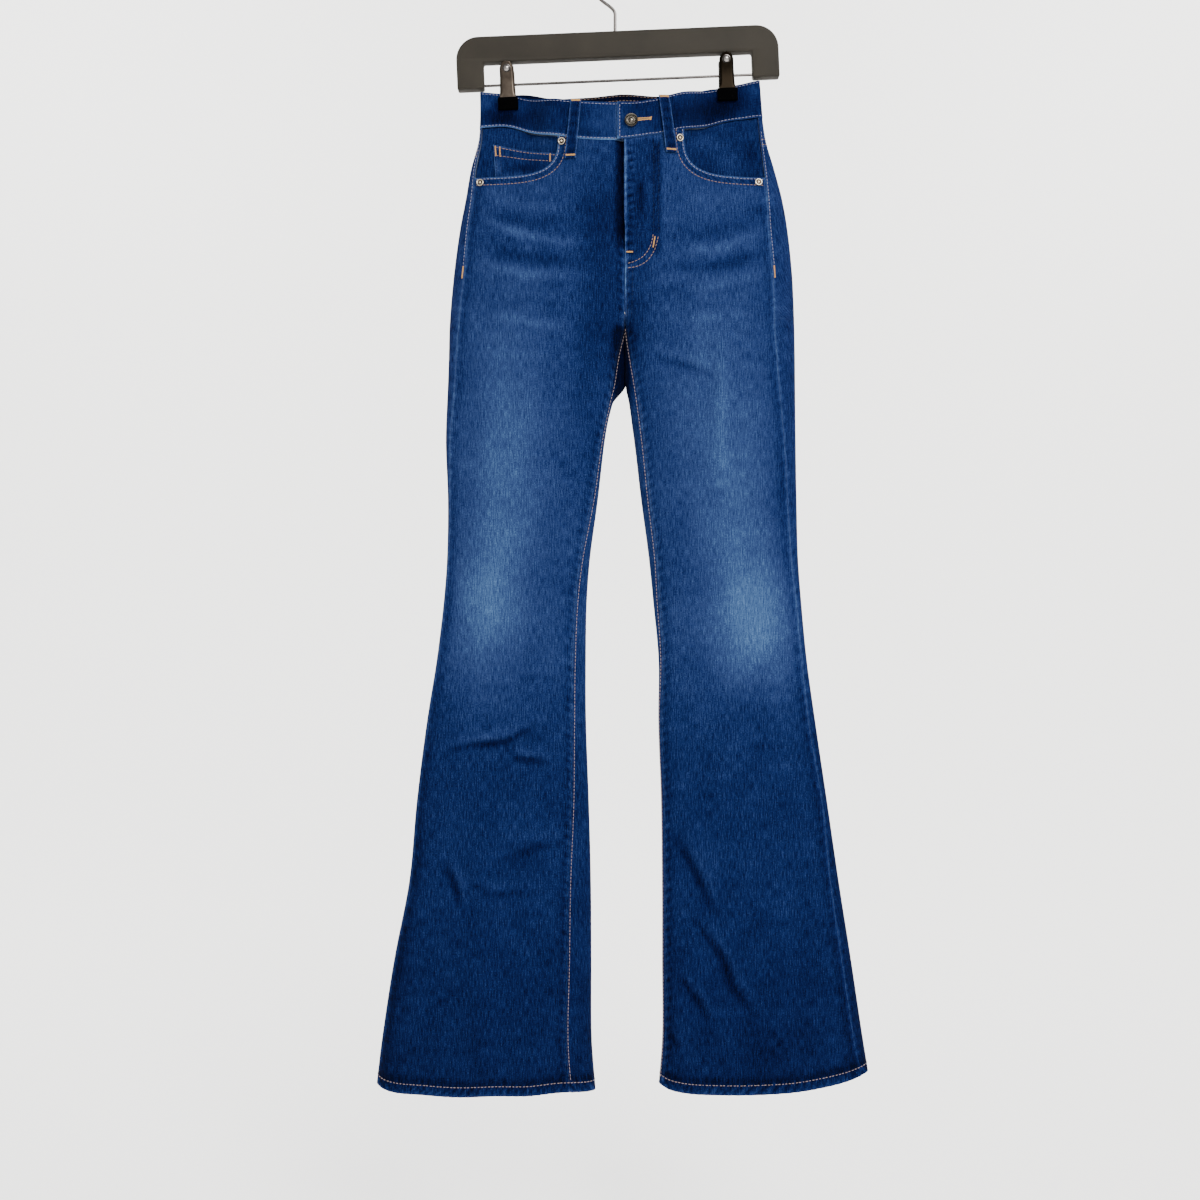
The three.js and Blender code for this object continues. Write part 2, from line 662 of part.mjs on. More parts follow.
// A turned cap that is seated on the cloth with its axis along the cloth's normal.
function stud(name, seat, profile, colour, finish) {
  const geometry = new THREE.LatheGeometry(profile, 20);
  const mesh = addPiece(name, geometry, colour, finish);
  mesh.position.copy(seat.point).addScaledVector(seat.normal, GAP);
  mesh.quaternion.setFromUnitVectors(new THREE.Vector3(0, 1, 0), seat.normal);
}

function capProfile(radius, height) {
  return [
    new THREE.Vector2(0, 0),
    new THREE.Vector2(radius, 0),
    new THREE.Vector2(radius, height * 0.45),
    new THREE.Vector2(radius * 0.78, height * 0.9),
    new THREE.Vector2(0, height),
  ];
}

// The hanger is built level about the middle of its bar's top, then tilted as it hangs.

function hangerFrame() {
  const { width, height, leg, drop, depth, corner } = BAR;
  const w = width / 2;
  const outline = new THREE.Shape();
  outline.moveTo(-w, -drop);
  outline.lineTo(-w, -corner);
  outline.absarc(-w + corner, -corner, corner, Math.PI, QUARTER, true);
  outline.lineTo(w - corner, 0);
  outline.absarc(w - corner, -corner, corner, QUARTER, 0, true);
  outline.lineTo(w, -drop);
  outline.lineTo(w - leg, -drop);
  outline.lineTo(w - leg, -height);
  outline.lineTo(-w + leg, -height);
  outline.lineTo(-w + leg, -drop);
  const frame = new THREE.ExtrudeGeometry(outline, { depth, bevelEnabled: false, curveSegments: 10 });
  frame.rotateX(QUARTER);
  frame.translate(0, depth / 2, 0);
  return frame;
}

// The side of a jaw, as y and z about the rod: its tip, its waist by the spring, and its spread top.
function jaw(face) {
  const wall = 1.2;
  const line = [[-5.7, CLIP.padTop + GAP], [-5.75, 0], [-7.6, 14], [-10.6, 28.5]];
  const outline = new THREE.Shape();
  line.forEach(([y, z], i) => (i === 0 ? outline.moveTo(y, z) : outline.lineTo(y, z)));
  [...line].reverse().forEach(([y, z]) => outline.lineTo(y - wall, z));
  const plate = new THREE.ExtrudeGeometry(outline, { depth: CLIP.width, bevelEnabled: false });
  plate.translate(0, 0, -CLIP.width / 2);
  plate.applyMatrix4(new THREE.Matrix4().set(0, 0, 1, 0, 1, 0, 0, 0, 0, 1, 0, 0, 0, 0, 0, 1));
  if (face === "back") plate.rotateZ(Math.PI);
  return plate;
}

function springBarrel() {
  const inner = ROD.radius + GAP;
  const profile = [[inner, -6], [5.4, -6], [5.4, 6], [inner, 6], [inner, -6]];
  const barrel = new THREE.LatheGeometry(profile.map(([r, y]) => new THREE.Vector2(r, y)), 20);
  barrel.rotateZ(QUARTER);
  return barrel;
}

function pad(face) {
  const near = CLIP.pinch + BAND_PROUD + GAP + 0.1;
  const block = new THREE.BoxGeometry(CLIP.padWidth, CLIP.padDepth, CLIP.padTop - CLIP.padBottom);
  const y = near + CLIP.padDepth / 2;
  block.translate(0, face === "front" ? -y : y, (CLIP.padTop + CLIP.padBottom) / 2);
  return block;
}

function hook() {
  const { radius, arc } = HOOK;
  const centreZ = radius - arc;
  const path = new THREE.CurvePath();
  const foot = new THREE.Vector3(0, 0, HANGER_TOP.z + 0.35);
  const bend = new THREE.Vector3(0, 0, -54);
  const turn = Math.PI + 0.12;
  const onArc = (angle) => new THREE.Vector3(arc * Math.cos(angle), 0, centreZ + arc * Math.sin(angle));
  path.add(new THREE.LineCurve3(foot, bend));
  const rising = new THREE.Vector3(0, 0, -43);
  const leaning = new THREE.Vector3(-21.5, 0, -40);
  path.add(new THREE.CubicBezierCurve3(bend, rising, leaning, onArc(turn)));
  const steps = 14;
  const points = [];
  for (let i = 0; i <= steps; i += 1) points.push(onArc(mix(turn, -0.5, i / steps)));
  path.add(new THREE.CatmullRomCurve3(points));
  const wire = new THREE.Shape();
  wire.absarc(0, 0, radius, 0, 2 * Math.PI, false);
  const sweep = { steps: 34, curveSegments: 5, extrudePath: path, bevelEnabled: false };
  return new THREE.ExtrudeGeometry(wire, sweep);
}

function buildHanger() {
  const place = new THREE.Group();
  place.position.set(HANGER_TOP.x, 0, HANGER_TOP.z);
  place.rotation.y = -HANGER_TILT;
  jeans.add(place);
  const metal = { roughness: 0.35, metalness: 1 };
  place.add(addPiece("hanger_frame", hangerFrame(), COLOURS.bar, { roughness: 0.5 }));
  const rodLength = BAR.width - 2 * BAR.leg - 2 * GAP;
  const rod = new THREE.CylinderGeometry(ROD.radius, ROD.radius, rodLength, 12);
  rod.rotateZ(QUARTER);
  rod.translate(0, 0, -ROD.below);
  place.add(addPiece("hanger_rod", rod, COLOURS.steel, metal));
  const swing = (ROD.below - (CLIP.padTop + CLIP.padBottom) / 2) * Math.sin(HANGER_TILT);
  for (const side of ["right", "left"]) {
    const clip = new THREE.Group();
    clip.position.set((CLIP_X[side] - HANGER_TOP.x - swing) / Math.cos(HANGER_TILT), 0, -ROD.below);
    place.add(clip);
    clip.add(addPiece(`clip_spring_${side}`, springBarrel(), COLOURS.steel, metal));
    for (const face of ["front", "back"]) {
      clip.add(addPiece(`clip_jaw_${side}_${face}`, jaw(face), COLOURS.clipMetal, metal));
      clip.add(addPiece(`clip_pad_${side}_${face}`, pad(face), COLOURS.pad, { roughness: 0.7 }));
    }
  }
  addPiece("hanger_hook", hook(), COLOURS.steel, metal);
}

// The garment, in the order in which it is sewn

for (const side of ["right", "left"]) {
  addPiece(`front_${side}`, cutFront(side), COLOURS.denim);
  addPiece(`pocket_facing_${side}`, pocketFacing(side), COLOURS.denim);
  addPiece(`back_${side}`, backPanel(side), COLOURS.denim);
  addPiece(`yoke_${side}`, yoke(side), COLOURS.denim);
  addPiece(`back_pocket_${side}`, backPocket(side), COLOURS.denim);
}
addPiece("coin_pocket", coinPocket(), COLOURS.denim);
addPiece("fly_shield", flyShield(), COLOURS.denim);
addPiece("waistband", waistband(), COLOURS.denimDark);
for (const [name, place] of Object.entries(BELT_LOOPS)) {
  addPiece(name, beltLoop(place), COLOURS.denimDark);
}
for (const [name, { side, x, z }] of Object.entries(RIVETS)) {
  const profile = capProfile(RIVET.radius, RIVET.height);
  stud(name, onFront(side, x, z, 0), profile, COLOURS.copper, { roughness: 0.4, metalness: 1 });
}
const buttonAngle = frontAngle("left", BUTTON.x, BUTTON.z);
const buttonProfile = capProfile(BUTTON.radius, BUTTON.height);
const buttonSeat = onBand("left", buttonAngle, BUTTON.z);
stud("button", buttonSeat, buttonProfile, COLOURS.brass, { roughness: 0.35, metalness: 1 });
buildHanger();

export default jeans;
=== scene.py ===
"""Flared five-pocket jeans that hang by the waistband from two clips of a trouser hanger.

The file follows the garment as it is sewn: front panels, pocket facings, backs, yokes, pockets, fly,
waistband, loops, studs, and then the hanger. Shapes are worked out in millimetres in the frame of the
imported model, and each mesh is stored in metres. "left" and "right" are the wearer's.
"""
import math

import bmesh
import bpy
import numpy as np
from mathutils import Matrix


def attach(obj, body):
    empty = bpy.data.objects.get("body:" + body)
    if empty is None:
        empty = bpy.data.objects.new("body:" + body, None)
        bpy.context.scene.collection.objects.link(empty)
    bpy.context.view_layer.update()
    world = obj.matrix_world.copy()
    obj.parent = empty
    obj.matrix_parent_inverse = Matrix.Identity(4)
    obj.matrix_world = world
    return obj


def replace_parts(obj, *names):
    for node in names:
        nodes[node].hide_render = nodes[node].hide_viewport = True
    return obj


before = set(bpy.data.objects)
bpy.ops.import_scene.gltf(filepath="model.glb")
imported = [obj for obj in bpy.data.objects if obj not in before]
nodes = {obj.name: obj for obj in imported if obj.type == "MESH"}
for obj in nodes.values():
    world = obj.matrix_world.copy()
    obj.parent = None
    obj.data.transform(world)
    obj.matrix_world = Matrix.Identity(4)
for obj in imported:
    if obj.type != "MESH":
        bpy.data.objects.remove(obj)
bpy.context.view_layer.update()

# The camera stands where the photographer stood, level with the middle of the picture and 1.6 m in
# front of the garment.
CAMERA_PLACE, CAMERA_LENS = (-0.01725, -1.6, -0.7269), 41.74
camera_data = bpy.data.cameras.new("camera")
camera_data.lens = CAMERA_LENS
camera_data.sensor_width = 36
camera = bpy.data.objects.new("camera", camera_data)
camera.location = CAMERA_PLACE
camera.rotation_euler = (math.pi / 2, 0, 0)
bpy.context.scene.collection.objects.link(camera)
bpy.context.scene.camera = camera

# The studio: a pale painted floor well below the hems that sweeps up into a wall far behind, white
# surroundings, a large soft lamp high on the right, a weak one behind, and two that light the wall.
FLOOR_Z, FLOOR_HALF, SWEEP_FROM_Y, SWEEP_RADIUS, WALL_TOP_Z = -1.62, 9, 2.4, 2.2, 6
FLOOR_COLOUR, SKY_COLOUR, SKY_STRENGTH = (0.92, 0.915, 0.90, 1), (0.96, 0.955, 0.945, 1), 0.95


def sweep():
    """Rows of points across the floor: level from the front to the bend, then a quarter circle, then
    upright to the wall's top."""
    turn = np.linspace(0, math.pi / 2, 24)
    wall_y = SWEEP_FROM_Y + SWEEP_RADIUS
    y = np.concatenate([[-FLOOR_HALF], SWEEP_FROM_Y + SWEEP_RADIUS * np.sin(turn), [wall_y]])
    z = np.concatenate([[FLOOR_Z], FLOOR_Z + SWEEP_RADIUS * (1 - np.cos(turn)), [WALL_TOP_Z]])
    left = np.stack([0 * y - FLOOR_HALF, y, z], axis=1)
    right = np.stack([0 * y + FLOOR_HALF, y, z], axis=1)
    row = np.arange(len(y) - 1)
    count = len(y)
    return np.concatenate([left, right]), np.stack([row, row + count, row + count + 1, row + 1], axis=1)


floor_mesh = bpy.data.meshes.new("floor")
corners, cells = sweep()
floor_mesh.from_pydata(corners.tolist(), [], cells.tolist())
floor_mesh.shade_smooth()
floor = bpy.data.objects.new("floor", floor_mesh)
bpy.context.scene.collection.objects.link(floor)


def new_material(name):
    """A material with nodes, with its tree and its shader."""
    material = bpy.data.materials.new(name)
    material.use_nodes = True
    return material, material.node_tree, material.node_tree.nodes["Principled BSDF"]


floor_paint, _, floor_shader = new_material("floor_paint")
floor_shader.inputs["Base Color"].default_value = FLOOR_COLOUR
floor_shader.inputs["Roughness"].default_value = 0.9
floor_mesh.materials.append(floor_paint)

world = bpy.data.worlds.new("studio")
world.use_nodes = True
world.node_tree.nodes["Background"].inputs["Color"].default_value = SKY_COLOUR
world.node_tree.nodes["Background"].inputs["Strength"].default_value = SKY_STRENGTH
bpy.context.scene.world = world


def lamp(name, place, aim, size, power):
    """A square soft lamp at a place, turned to face its aim."""
    data = bpy.data.lights.new(name, "AREA")
    data.size = size
    data.energy = power
    made = bpy.data.objects.new(name, data)
    toward = np.array(aim) - np.array(place)
    turn = math.atan2(toward[1], toward[0])
    tilt = math.atan2(math.hypot(toward[0], toward[1]), -toward[2])
    made.location = place
    made.rotation_euler = (tilt, 0, turn - math.pi / 2)
    bpy.context.scene.collection.objects.link(made)


lamp("key", (1.0, -3.0, 1.2), (0, 0, -0.75), 1.5, 190)
lamp("rim", (-2.4, 1.6, 0.6), (0, 0, -0.7), 1.6, 6)
lamp("wall_right", (3.4, 1.2, 2.6), (-0.6, 4.6, -0.4), 2.0, 390)
lamp("wall_left", (-3.4, 1.2, 2.6), (0.6, 4.6, -0.4), 2.0, 390)

# The two front panels: stretch denim, each cut from the fly to the side seam and from the waistband to
# the hem, with a curved edge at the pocket's mouth. They are sewn to each other below the fly, and to
# the backs along both seams. The hem is turned up twice and stitched.
DENIM = 1.5
GAP = 0.3
HEM_HEIGHT = 11
HEM_EXTRA = 1.5
CENTRE_X = 11
CROTCH_Z = -412
LEGS_PART_Z = -476
LEGS_APART_Z = -502
CROTCH_LAP = 3.0
HIP_MERGE_Z = -295
FLY_END_Z = -322
HEM_Z = -1288
FLATNESS = 0.75
QUARTER = math.pi / 2
# Which way along x the inside of a leg lies.
TOWARD = {"right": 1, "left": -1}
CLIP_X = {"right": -122.5, "left": 129}
CLIP_PINCH = 2.9
PINCH_FLAT, PINCH_SIDE, PINCH_LOW_SIDE, PINCH_FROM, PINCH_FADE = 15, 42, 80, -172, 115

# The silhouette of each leg by height, and how far in from it each seam lies.
SECTION_COLUMNS = ("z", "right_out", "right_in", "right_outseam", "right_inseam",
                   "left_out", "left_in", "left_outseam", "left_inseam")
SECTIONS = [
    (-120, -155.0, 10.8, 2, 0, 165.0, 11.2, 6, 0),
    (-198, -156.5, 10.8, 3, 0, 173.0, 11.2, 7, 0),
    (-233, -165.5, 10.8, 6, 0, 183.0, 11.2, 13, 0),
    (-267, -171.5, 10.8, 9, 0, 192.0, 11.2, 19, 0),
    (-301, -178.0, 10.8, 11, 0, 198.0, 11.2, 23, 0),
    (-353, -185.0, 10.8, 13, 0, 203.5, 11.2, 24, 0),
    (-412, -190.0, 10.8, 12, 0, 206.0, 11.2, 25, 1),
    (-449, -191.0, 3.5, 10, 1, 206.7, 11.6, 23, 6),
    (-485, -192.3, -1.5, 9, 2, 207.0, 13.8, 20, 10),
    (-543, -194.4, -11.5, 6, 4, 207.6, 21.8, 15, 10),
    (-612, -192.1, -19.6, 3, 6, 208.7, 30.0, 12, 9),
    (-681, -193.2, -28.8, 2, 10, 210.5, 39.1, 9, 8),
    (-727, -196.7, -32.2, 2, 12, 213.9, 43.7, 7, 6),
    (-796, -205.0, -33.4, 2, 14, 220.5, 50.0, 7, 4),
    (-865, -216.0, -33.2, 2, 15, 230.0, 49.8, 9, 2),
    (-957, -227.7, -30.0, 2, 19, 243.6, 52.9, 7, 2),
    (-1049, -236.4, -27.6, 2, 25, 257.0, 54.0, 11, 2),
    (-1141, -254.0, -27.0, 2, 27, 271.4, 54.1, 12, 2),
    (-1233, -268.0, -26.5, 2, 29, 285.2, 54.1, 12, 2),
    (-1292, -275.0, -22.0, 2, 29, 295.0, 49.5, 10, 2),
]
# Height, and how far the cloth stands off the middle plane at the front and at the back.
DEPTHS = [(-120, 24, 24), (-198, 26, 26), (-260, 27, 31), (-340, 27, 35), (-412, 26, 34),
          (-520, 23, 27), (-690, 18, 20), (-860, 17, 18), (-1010, 19, 20), (-1292, 24, 24)]
# The place across, the waistband's top edge and its seam.
WAIST_FRONT = [(-160, -144, -186), (-123, -147, -184), (-84, -156, -196), (-43, -161, -204),
               (0, -163.5, -206), (29, -163, -203), (64, -154, -196), (94, -146, -188),
               (127, -138.5, -178), (172, -130, -173)]
WAIST_BACK = [(-160, -144, -186), (-123, -146, -185), (-27, -141, -181), (11, -137.3, -178),
              (49, -140, -178), (127, -138, -177), (172, -130, -173)]
# The place across and how far the hem's edge is above its level.
HEM_EDGE = [(-276, 8), (-262, 2), (-216, -1), (-178, -2.5), (-140, -1), (-100, -2), (-66, 1), (-20, 0),
            (49, 7), (63, 2), (120, -1), (187, 2), (235, 7), (266, 13), (296, 22)]
# The broad folds: leg, start, end, depth inward, which is negative for a ridge, and half width.
FOLDS = [
    ("right", -188, -905, -92, -876, 4.0, 13),
    ("right", -124, -902, -76, -914, 3.5, 11),
    ("right", -191, -1032, -165, -1078, 4.5, 13),
    ("right", -134, -1029, -62, -1008, 3.0, 14),
    ("right", -150, -1100, -150, -1290, -4.0, 26),
    ("left", 70, -998, 112, -1083, 4.5, 13),
    ("left", 90, -1096, 160, -1205, 4.0, 14),
    ("left", 73, -1162, 108, -1214, 3.5, 11),
    ("left", 47, -448, 110, -468, 3.0, 12),
    ("left", 123, -425, 121, -600, -3.0, 15),
    ("left", 190, -1100, 196, -1290, -4.0, 28),
]
BACK_FOLDS = [
    ("right", -160, -436, -30, -462, 4.0, 14),
    ("right", -185, -905, -100, -890, 3.5, 13),
    ("right", -160, -1070, -90, -1030, 3.5, 14),
    ("left", 50, -458, 175, -436, 4.0, 14),
    ("left", 80, -900, 175, -925, 3.5, 13),
    ("left", 110, -1050, 170, -1110, 4.0, 14),
]
# The sharp creases in those folds and beside them: depth, half width, then the points of the line.
CREASES = [
    (3.0, 4.0, (-187, -898), (-165, -893), (-125, -889), (-91, -870)),
    (2.4, 3.8, (-123, -897), (-113, -908), (-77, -912)),
    (3.0, 3.8, (-194, -1026), (-185, -1047), (-176, -1074)),
    (1.3, 4.0, (-175, -1048), (-137, -1062), (-94, -1058)),
    (1.2, 6.5, (-133, -1024), (-85, -1008), (-62, -1004)),
    (2.4, 4.5, (69, -995), (86, -1027), (100, -1055), (111, -1079)),
    (2.7, 4.3, (91, -1091), (122, -1133), (134, -1167), (160, -1201)),
    (2.2, 4.0, (74, -1157), (92, -1180), (108, -1208)),
    (1.8, 4.0, (57, -1214), (74, -1240)),
    (2.0, 4.0, (46, -451), (94, -465), (109, -472)),
    (-0.9, 6.0, (121, -433), (120, -500), (122, -591)),
    (0.9, 5.0, (142, -451), (177, -451)),
    (0.8, 6.0, (-150, -312), (-100, -322), (-60, -318)),
    (0.8, 6.0, (60, -352), (110, -350), (170, -332)),
    (0.9, 6.0, (30, -392), (70, -372), (110, -366)),
]
BACK_CREASES = [
    (2.0, 5.0, (-165, -438), (-110, -455), (-40, -462)),
    (1.5, 4.5, (-120, -480), (-70, -488), (-25, -484)),
    (2.0, 5.0, (50, -460), (110, -452), (175, -436)),
    (1.5, 4.5, (48, -486), (90, -492), (140, -478)),
    (1.9, 4.2, (-185, -905), (-150, -896), (-100, -890)),
    (1.5, 4.0, (-140, -930), (-100, -925), (-60, -938)),
    (1.7, 4.2, (-162, -1070), (-130, -1052), (-90, -1030)),
    (1.9, 4.2, (78, -900), (120, -912), (175, -925)),
    (1.4, 4.0, (100, -940), (140, -948), (180, -940)),
    (1.8, 4.4, (110, -1050), (140, -1075), (170, -1110)),
    (1.3, 4.0, (200, -1120), (220, -1165), (228, -1200)),
]
MOUTHS = {"right": (-155, -198, 90, 46.5, 3.6), "left": (165, -196, -87, 49, 3.2)}
FLY_EDGE_X, FLY_UNDERLAP, FLY_LIFT, FLY_FLAT_TO, FLY_END_X = 10, 6, 2.2, 38, 46
FLY_TRENCH_DEPTH, FLY_TRENCH_X, FLY_TRENCH_END_X = 7.0, 0.5, 20


def smooth(t):
    """A soft step from 0 to 1: three t squared minus two t cubed, held flat outside."""
    s = np.clip(t, 0, 1)
    return s * s * (3 - 2 * s)


def mix(a, b, t):
    """The value that lies the share t of the way from a to b."""
    return a + (b - a) * t


def bell(t):
    """A soft bump, 1 high at t = 0: e to the power of minus t squared."""
    return np.exp(-t ** 2)


def curve_through(at, value):
    """A curve through points: each stretch is a cubic whose slope at a point is the mean of the
    slopes of the straight lines on both sides of it."""
    at, value = np.array(at, float), np.array(value, float)
    order = np.argsort(at)
    at, value = at[order], value[order]
    rise = np.diff(value) / np.diff(at)
    slope = np.concatenate([rise[:1], (rise[:-1] + rise[1:]) / 2, rise[-1:]])

    def height(where):
        x = np.clip(where, at[0], at[-1])
        i = np.clip(np.searchsorted(at, x, side="left") - 1, 0, len(at) - 2)
        step = at[i + 1] - at[i]
        t = (x - at[i]) / step
        start = value[i] * (1 + 2 * t) * (1 - t) ** 2 + slope[i] * step * t * (1 - t) ** 2
        return start + value[i + 1] * t * t * (3 - 2 * t) - slope[i + 1] * step * t * t * (1 - t)

    return height


section_table = np.array(SECTIONS)
section_curve = {name: curve_through(section_table[:, 0], section_table[:, i])
                 for i, name in enumerate(SECTION_COLUMNS)}
front_depth = curve_through(*zip(*[(z, front) for z, front, _ in DEPTHS]))
back_depth = curve_through(*zip(*[(z, back) for z, _, back in DEPTHS]))
waist_top = {"front": curve_through(*zip(*[(x, top) for x, top, _ in WAIST_FRONT])),
             "back": curve_through(*zip(*[(x, top) for x, top, _ in WAIST_BACK]))}
waist_seam = {"front": curve_through(*zip(*[(x, seam) for x, _, seam in WAIST_FRONT])),
              "back": curve_through(*zip(*[(x, seam) for x, _, seam in WAIST_BACK]))}
hem_drop = curve_through(*zip(*HEM_EDGE))


def section(side, z):
    """The middle, half width, half width of the back and direction of one leg's flat tube at z. Above
    the crotch its inner end moves over to the other leg's outer end, so that both meet at the centre."""
    outer = section_curve[side + "_out"](z)
    in_leg = section_curve[side + "_in"](z)
    apart = smooth((HIP_MERGE_Z - z) / (HIP_MERGE_Z - CROTCH_Z))
    inner = np.where(z > CROTCH_Z, mix(2 * CENTRE_X - outer, in_leg, apart), in_leg)
    parting = smooth((LEGS_PART_Z - z) / (LEGS_PART_Z - LEGS_APART_Z))
    inner_back = np.where(z > CROTCH_Z, inner, mix(section_curve[side + "_in"](CROTCH_Z), inner, parting))
    middle = (outer + inner) / 2
    return middle, abs(inner - outer) / 2, abs(inner_back - middle), TOWARD[side]


def pinch(x, z):
    """How much a clip closes the two layers: 1 between its pads, then a soft fall to both sides and down."""
    below = smooth((PINCH_FROM - z) / PINCH_FADE)
    reach = mix(PINCH_SIDE, PINCH_LOW_SIDE, below)
    near = [1 - smooth((abs(x - clip) - PINCH_FLAT) / reach) for clip in CLIP_X.values()]
    return (1 - below) * np.maximum(*near)


def fold_depth(folds, side, x, z):
    """The sum of the broad folds: a bell across each line, fullest at the middle of its length."""
    total = 0
    for leg, x0, z0, x1, z1, depth, width in folds:
        if leg == side:
            dx, dz = x1 - x0, z1 - z0
            t = np.clip(((x - x0) * dx + (z - z0) * dz) / (dx * dx + dz * dz), 0, 1)
            far = np.hypot(x - x0 - dx * t, z - z0 - dz * t) / width
            total = total + depth * np.exp(-far * far) * (0.35 + 0.65 * np.sin(math.pi * t))
    return total


def beside_line(line, reach, x, z):
    """Where points lie within reach of a bent line, and there their distance from it, the same distance
    with a minus sign below the line, and the share of the line's length at the nearest place."""
    line = np.array(line, float)
    low, high = line.min(axis=0) - reach, line.max(axis=0) + reach
    near = (x > low[0]) & (x < high[0]) & (z > low[1]) & (z < high[1])
    px, pz = x[near], z[near]
    best, signed, along = np.full(px.shape, 1e9), np.zeros(px.shape), np.zeros(px.shape)
    lengths = np.hypot(*np.diff(line, axis=0).T)
    for i in range(len(line) - 1):
        dx, dz = line[i + 1] - line[i]
        t = np.clip(((px - line[i, 0]) * dx + (pz - line[i, 1]) * dz) / (dx * dx + dz * dz), 0, 1)
        off_x, off_z = px - line[i, 0] - dx * t, pz - line[i, 1] - dz * t
        far = np.hypot(off_x, off_z)
        closer = far < best
        best = np.where(closer, far, best)
        signed = np.where(closer, np.sign(off_z) * far, signed)
        along = np.where(closer, (lengths[:i].sum() + t * lengths[i]) / lengths.sum(), along)
    return near, best, signed, along


def crease_height(creases, x, z):
    """The sum of the creases: a narrow trough along each bent line with a lower, broader swell on its
    upper side, both of which fade out towards the line's ends."""
    x, z = np.broadcast_arrays(x, z)
    total = np.zeros(x.shape)
    for depth, width, *line in creases:
        near, best, signed, along = beside_line(line, 4 * width, x, z)
        fade = 0.25 + 0.75 * np.sin(math.pi * along)
        trough = bell(best / width)
        swell = 0.45 * bell((signed - 2.1 * width) / (1.6 * width))
        total[near] += depth * fade * (swell - trough)
    return total


def side_seam_x(side, z):
    """The place of the side seam on the front, a little in from the silhouette."""
    return section_curve[side + "_out"](z) + TOWARD[side] * section_curve[side + "_outseam"](z)


def seam_gaps(side, x, z):
    """The distances on the front from the side seam and from the inseam or centre front."""
    toward = TOWARD[side]
    inside = section_curve[side + "_in"](z) - toward * section_curve[side + "_inseam"](z)
    inside = np.where(z > CROTCH_Z, CENTRE_X, inside)
    return toward * (x - side_seam_x(side, z)), toward * (inside - x)


def above_hem(x, z):
    """The height above the hem's edge."""
    return z - (HEM_Z + hem_drop(x))


def ripple(along, seed):
    """An uneven wave of about 10 mm: a sine whose phase wanders with two slower sines."""
    return np.sin(along * 0.60 + 1.6 * np.sin(along / 27 + seed) + 1.1 * np.sin(along / 61 + 2 * seed))


def puckers(side, front, x, z):
    """The rope-like ripples that sewing and washing leave beside the seams and on the hem, from -1 to 1."""
    out_gap, in_gap = seam_gaps(side, x, z)
    seed = 1 if side == "right" else 3
    beside_out = bell(out_gap / 6) * ripple(z + 0.5 * out_gap, seed)
    beside_in = bell((in_gap - 3) / 5) * ripple(z - 0.6 * in_gap, seed + 1)
    height = above_hem(x, z)
    hem = smooth((16 - height) / 6) * ripple(x * 1.25 + height * 0.9, seed + 2)
    return np.where(front, 0.4 * beside_out + 0.75 * beside_in, 0) * smooth((-200 - z) / 30) + hem


def fly_trench(side, front, x, z):
    """How far the right front sinks beside the fly's edge, where the left one laps over it, from 0 to 1. The
    same share also darkens the cloth there as painted shade.
    """
    if side == "left":
        return np.zeros(np.shape(x))
    across = smooth((x - FLY_TRENCH_X + 9) / 18) ** 2 * (1 - smooth((x - FLY_TRENCH_END_X) / 6))
    height = smooth((z - (FLY_END_Z - 16)) / 34) * smooth((-198 - z) / 9)
    return np.where(front, across * height, 0)


def fly_wear(side, front, x, z):
    """How the wash changes on the fly, whose layers stay dark: less as far as its curved rows, with a
    pale rubbed edge and a strip of pale ripples beside it."""
    if side == "right":
        return np.zeros(np.shape(x))
    upper = smooth((z - (FLY_END_Z - 18)) / 10)
    flap = (-0.11 - 0.08 * bell((x - 46) / 6)) * (1 - smooth((x - 50) / 5)) * upper
    edge = 0.42 * bell((x - FLY_EDGE_X - 1.2) / 1.3) * smooth((z + 395) / 20)
    rope = bell((x - FLY_EDGE_X - 8) / 4.5) * (0.05 + 0.15 * ripple(z * 1.2, 5))
    rope = rope * smooth((z + 400) / 30)
    rows = sum(bell((x - at) / 1.5) * (0.10 * ripple(z * 2.4, at) - 0.08) for at in (43.5, 49))
    return np.where(front, (flap + edge + rope + rows * upper) * smooth((-203 - z) / 6), 0)


def relief(side, front, x, z):
    """What the cloth adds to its broad form: creases, a slow unevenness, the puckers and the fly's trench."""
    below = smooth((-214 - z) / 40)
    creases = np.where(front, crease_height(CREASES, x, z), crease_height(BACK_CREASES, x, z))
    phase = np.where(front, 0, 2.3)
    slow = (0.55 * np.sin(x / 24 + z / 83 + phase) * np.sin(z / 41 - x / 90 + phase)
            + 0.3 * np.sin(x / 11 - z / 57 + 1 + phase) * np.sin(z / 23 + x / 60))
    height = above_hem(x, z)
    groove = -0.35 * bell((height - HEM_HEIGHT) / 1.6)
    trench = FLY_TRENCH_DEPTH * fly_trench(side, front, x, z)
    return below * (creases + slow) + 0.5 * puckers(side, front, x, z) + groove - trench


def inseam_angle(side, z):
    """The angle of the inseam on the front, at its inset from the leg's inner end."""
    middle, half, _, _ = section(side, z)
    inset = np.where(z > CROTCH_Z, 0, section_curve[side + "_inseam"](z))
    return np.arccos(np.clip((half - inset) / half, -1, 1))


